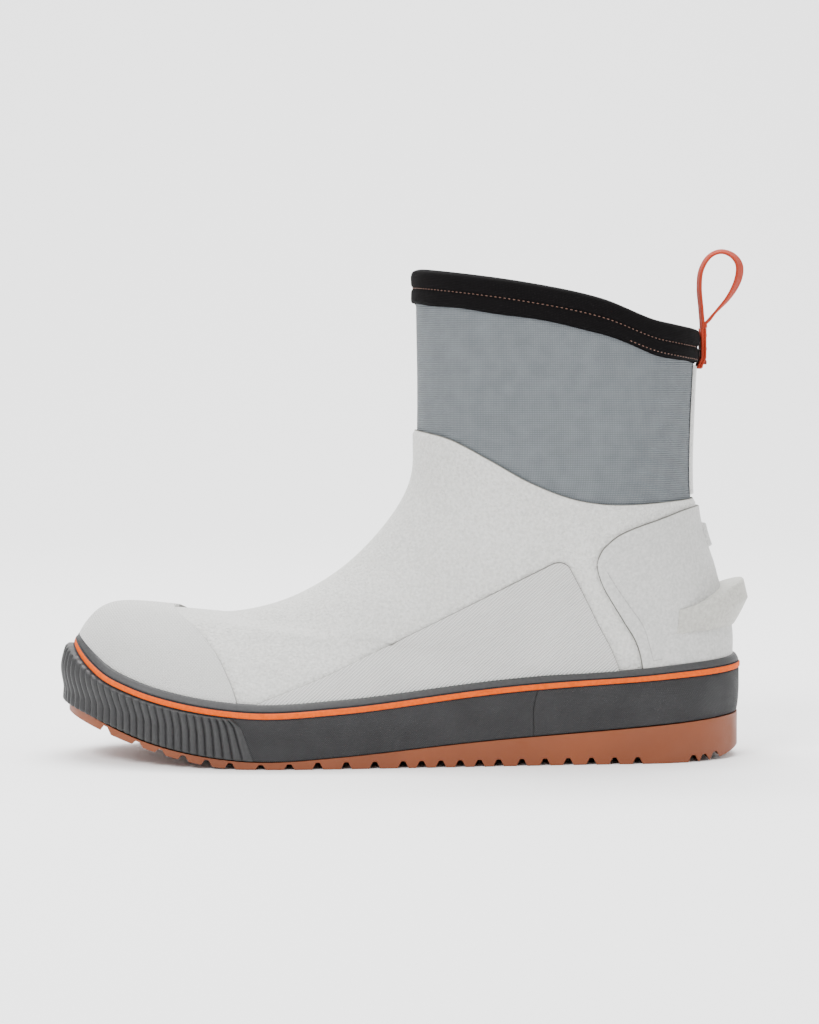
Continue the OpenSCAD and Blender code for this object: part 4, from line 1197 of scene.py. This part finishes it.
innerLeg = np.stack([pivot[0] - ply + inward, zs], -1)
outerLeg = np.stack([pivot[0] + ply + inward, zs], -1)[::-1]
anchor = np.concatenate([innerLeg, bend[1:-1], outerLeg])
webbing("pull loop anchor", anchor, np.zeros(len(anchor)), "pull_loop_anchor", "boot", 0.05)
tackMat = threadMaterial("red bar tack thread", (0.42, 0.06, 0.03))
tacks = []
for k in range(3):
    z = mix(anchorLow + 3, anchorTop - 3, k / 2)
    for y in np.linspace(-4, 4, 9):
        middle = np.array([pivot[0] + web["thick"] - 0.3, y, z])
        tacks.append((middle, unit(np.array([0, 0.35, 1.0])), np.array([1.0, 0, 0])))
capsules("bar tacks", tacks, 2.2, 0.2, tackMat, "pull_loop_bartack")
print("pull loop is built")

# footbed, a foam piece, and the board under it
bed = {"thick": 5.0, "color": (0.033, 0.037, 0.043), "gap": 1.2, "board": 2, "net": 0.0016}
wallT = layers["rubber"] + bond + layers["neoprene"] + bond + layers["lining"]


def feather(x):
    # the height of the edge of the last's sole
    row = np.broadcast_to(lastRows[0], np.shape(x) + (lastRows.shape[1],))
    return heightOf(row, np.zeros(np.shape(x)), lastShare(x))


def slab(name, dEdge, low, high, mat, slot, body="boot", edge=1.6, rings=26):
    # a plate inside the last's outline, with rounded edges
    rim = wall(ring(360), 0, dEdge)[:, :2]
    mid = rim.mean(0)
    f = np.sin(np.linspace(0.03, math.pi / 2, rings)) ** 0.9
    f[-1] = 1
    xy = mid + (rim - mid)[:, None, :] * f[None, :, None]
    gapToRim = np.linalg.norm(rim[:, None] - xy, axis=-1)
    fall = rounded(gapToRim, edge)
    lo, hi = low(xy[..., 0]), high(xy)
    cut = (hi - lo) * 0.42 * fall
    top = np.concatenate([xy, (hi - cut)[..., None]], -1)
    below = np.concatenate([xy, (lo + cut * 0.5)[..., None]], -1)
    return dress(outward(wrap(name, top, below, closed=True, sharp=50)), mat, slot, body=body)


bedMat = newMaterial("dark footbed fabric", bed["color"], 0.88, Sheen_Weight=0.3)
axis = axes(bedMat, False)
net = crossRidges(bedMat, bed["net"], bed["net"], axis)
tint(bedMat, net, 0, 1, toned(bed["color"], 0.6), toned(bed["color"], 1.7))
useNormal(bedMat, bump(bedMat, net, 0.0003, 0.8))


def bedTop(xy):
    x, y = xy[..., 0], xy[..., 1]
    rise = 3 * smooth((lastShare(x) - 0.8) / 0.2)
    cup = 0.9 * np.exp(-((x - 112) / 24) ** 2) * (1 - (y / 22) ** 2)
    wave = 0.15 * ripple(np.concatenate([xy, xy[..., :1] * 0], -1), 40, 31)
    return feather(x) + bed["board"] + bond + bed["thick"] + rise - np.maximum(0, cup) + wave


footbed = slab("footbed", -wallT - bed["gap"], lambda x: feather(x) + bed["board"] + bond, bedTop, bedMat,
               "footbed", "footbed")
boardMat = newMaterial("insole board fibre", (0.36, 0.25, 0.13), 0.85)
tint(boardMat, noise(boardMat, 120, 5), 0.3, 0.7, (0.28, 0.19, 0.09), (0.42, 0.3, 0.17))
slab("insole board", -wallT - bond - 0.4, lambda x: feather(x) + 0.05,
     lambda xy: feather(xy[..., 0]) + float(bed["board"]), boardMat, "insole_board", edge=0.6)
print("footbed and board are built")
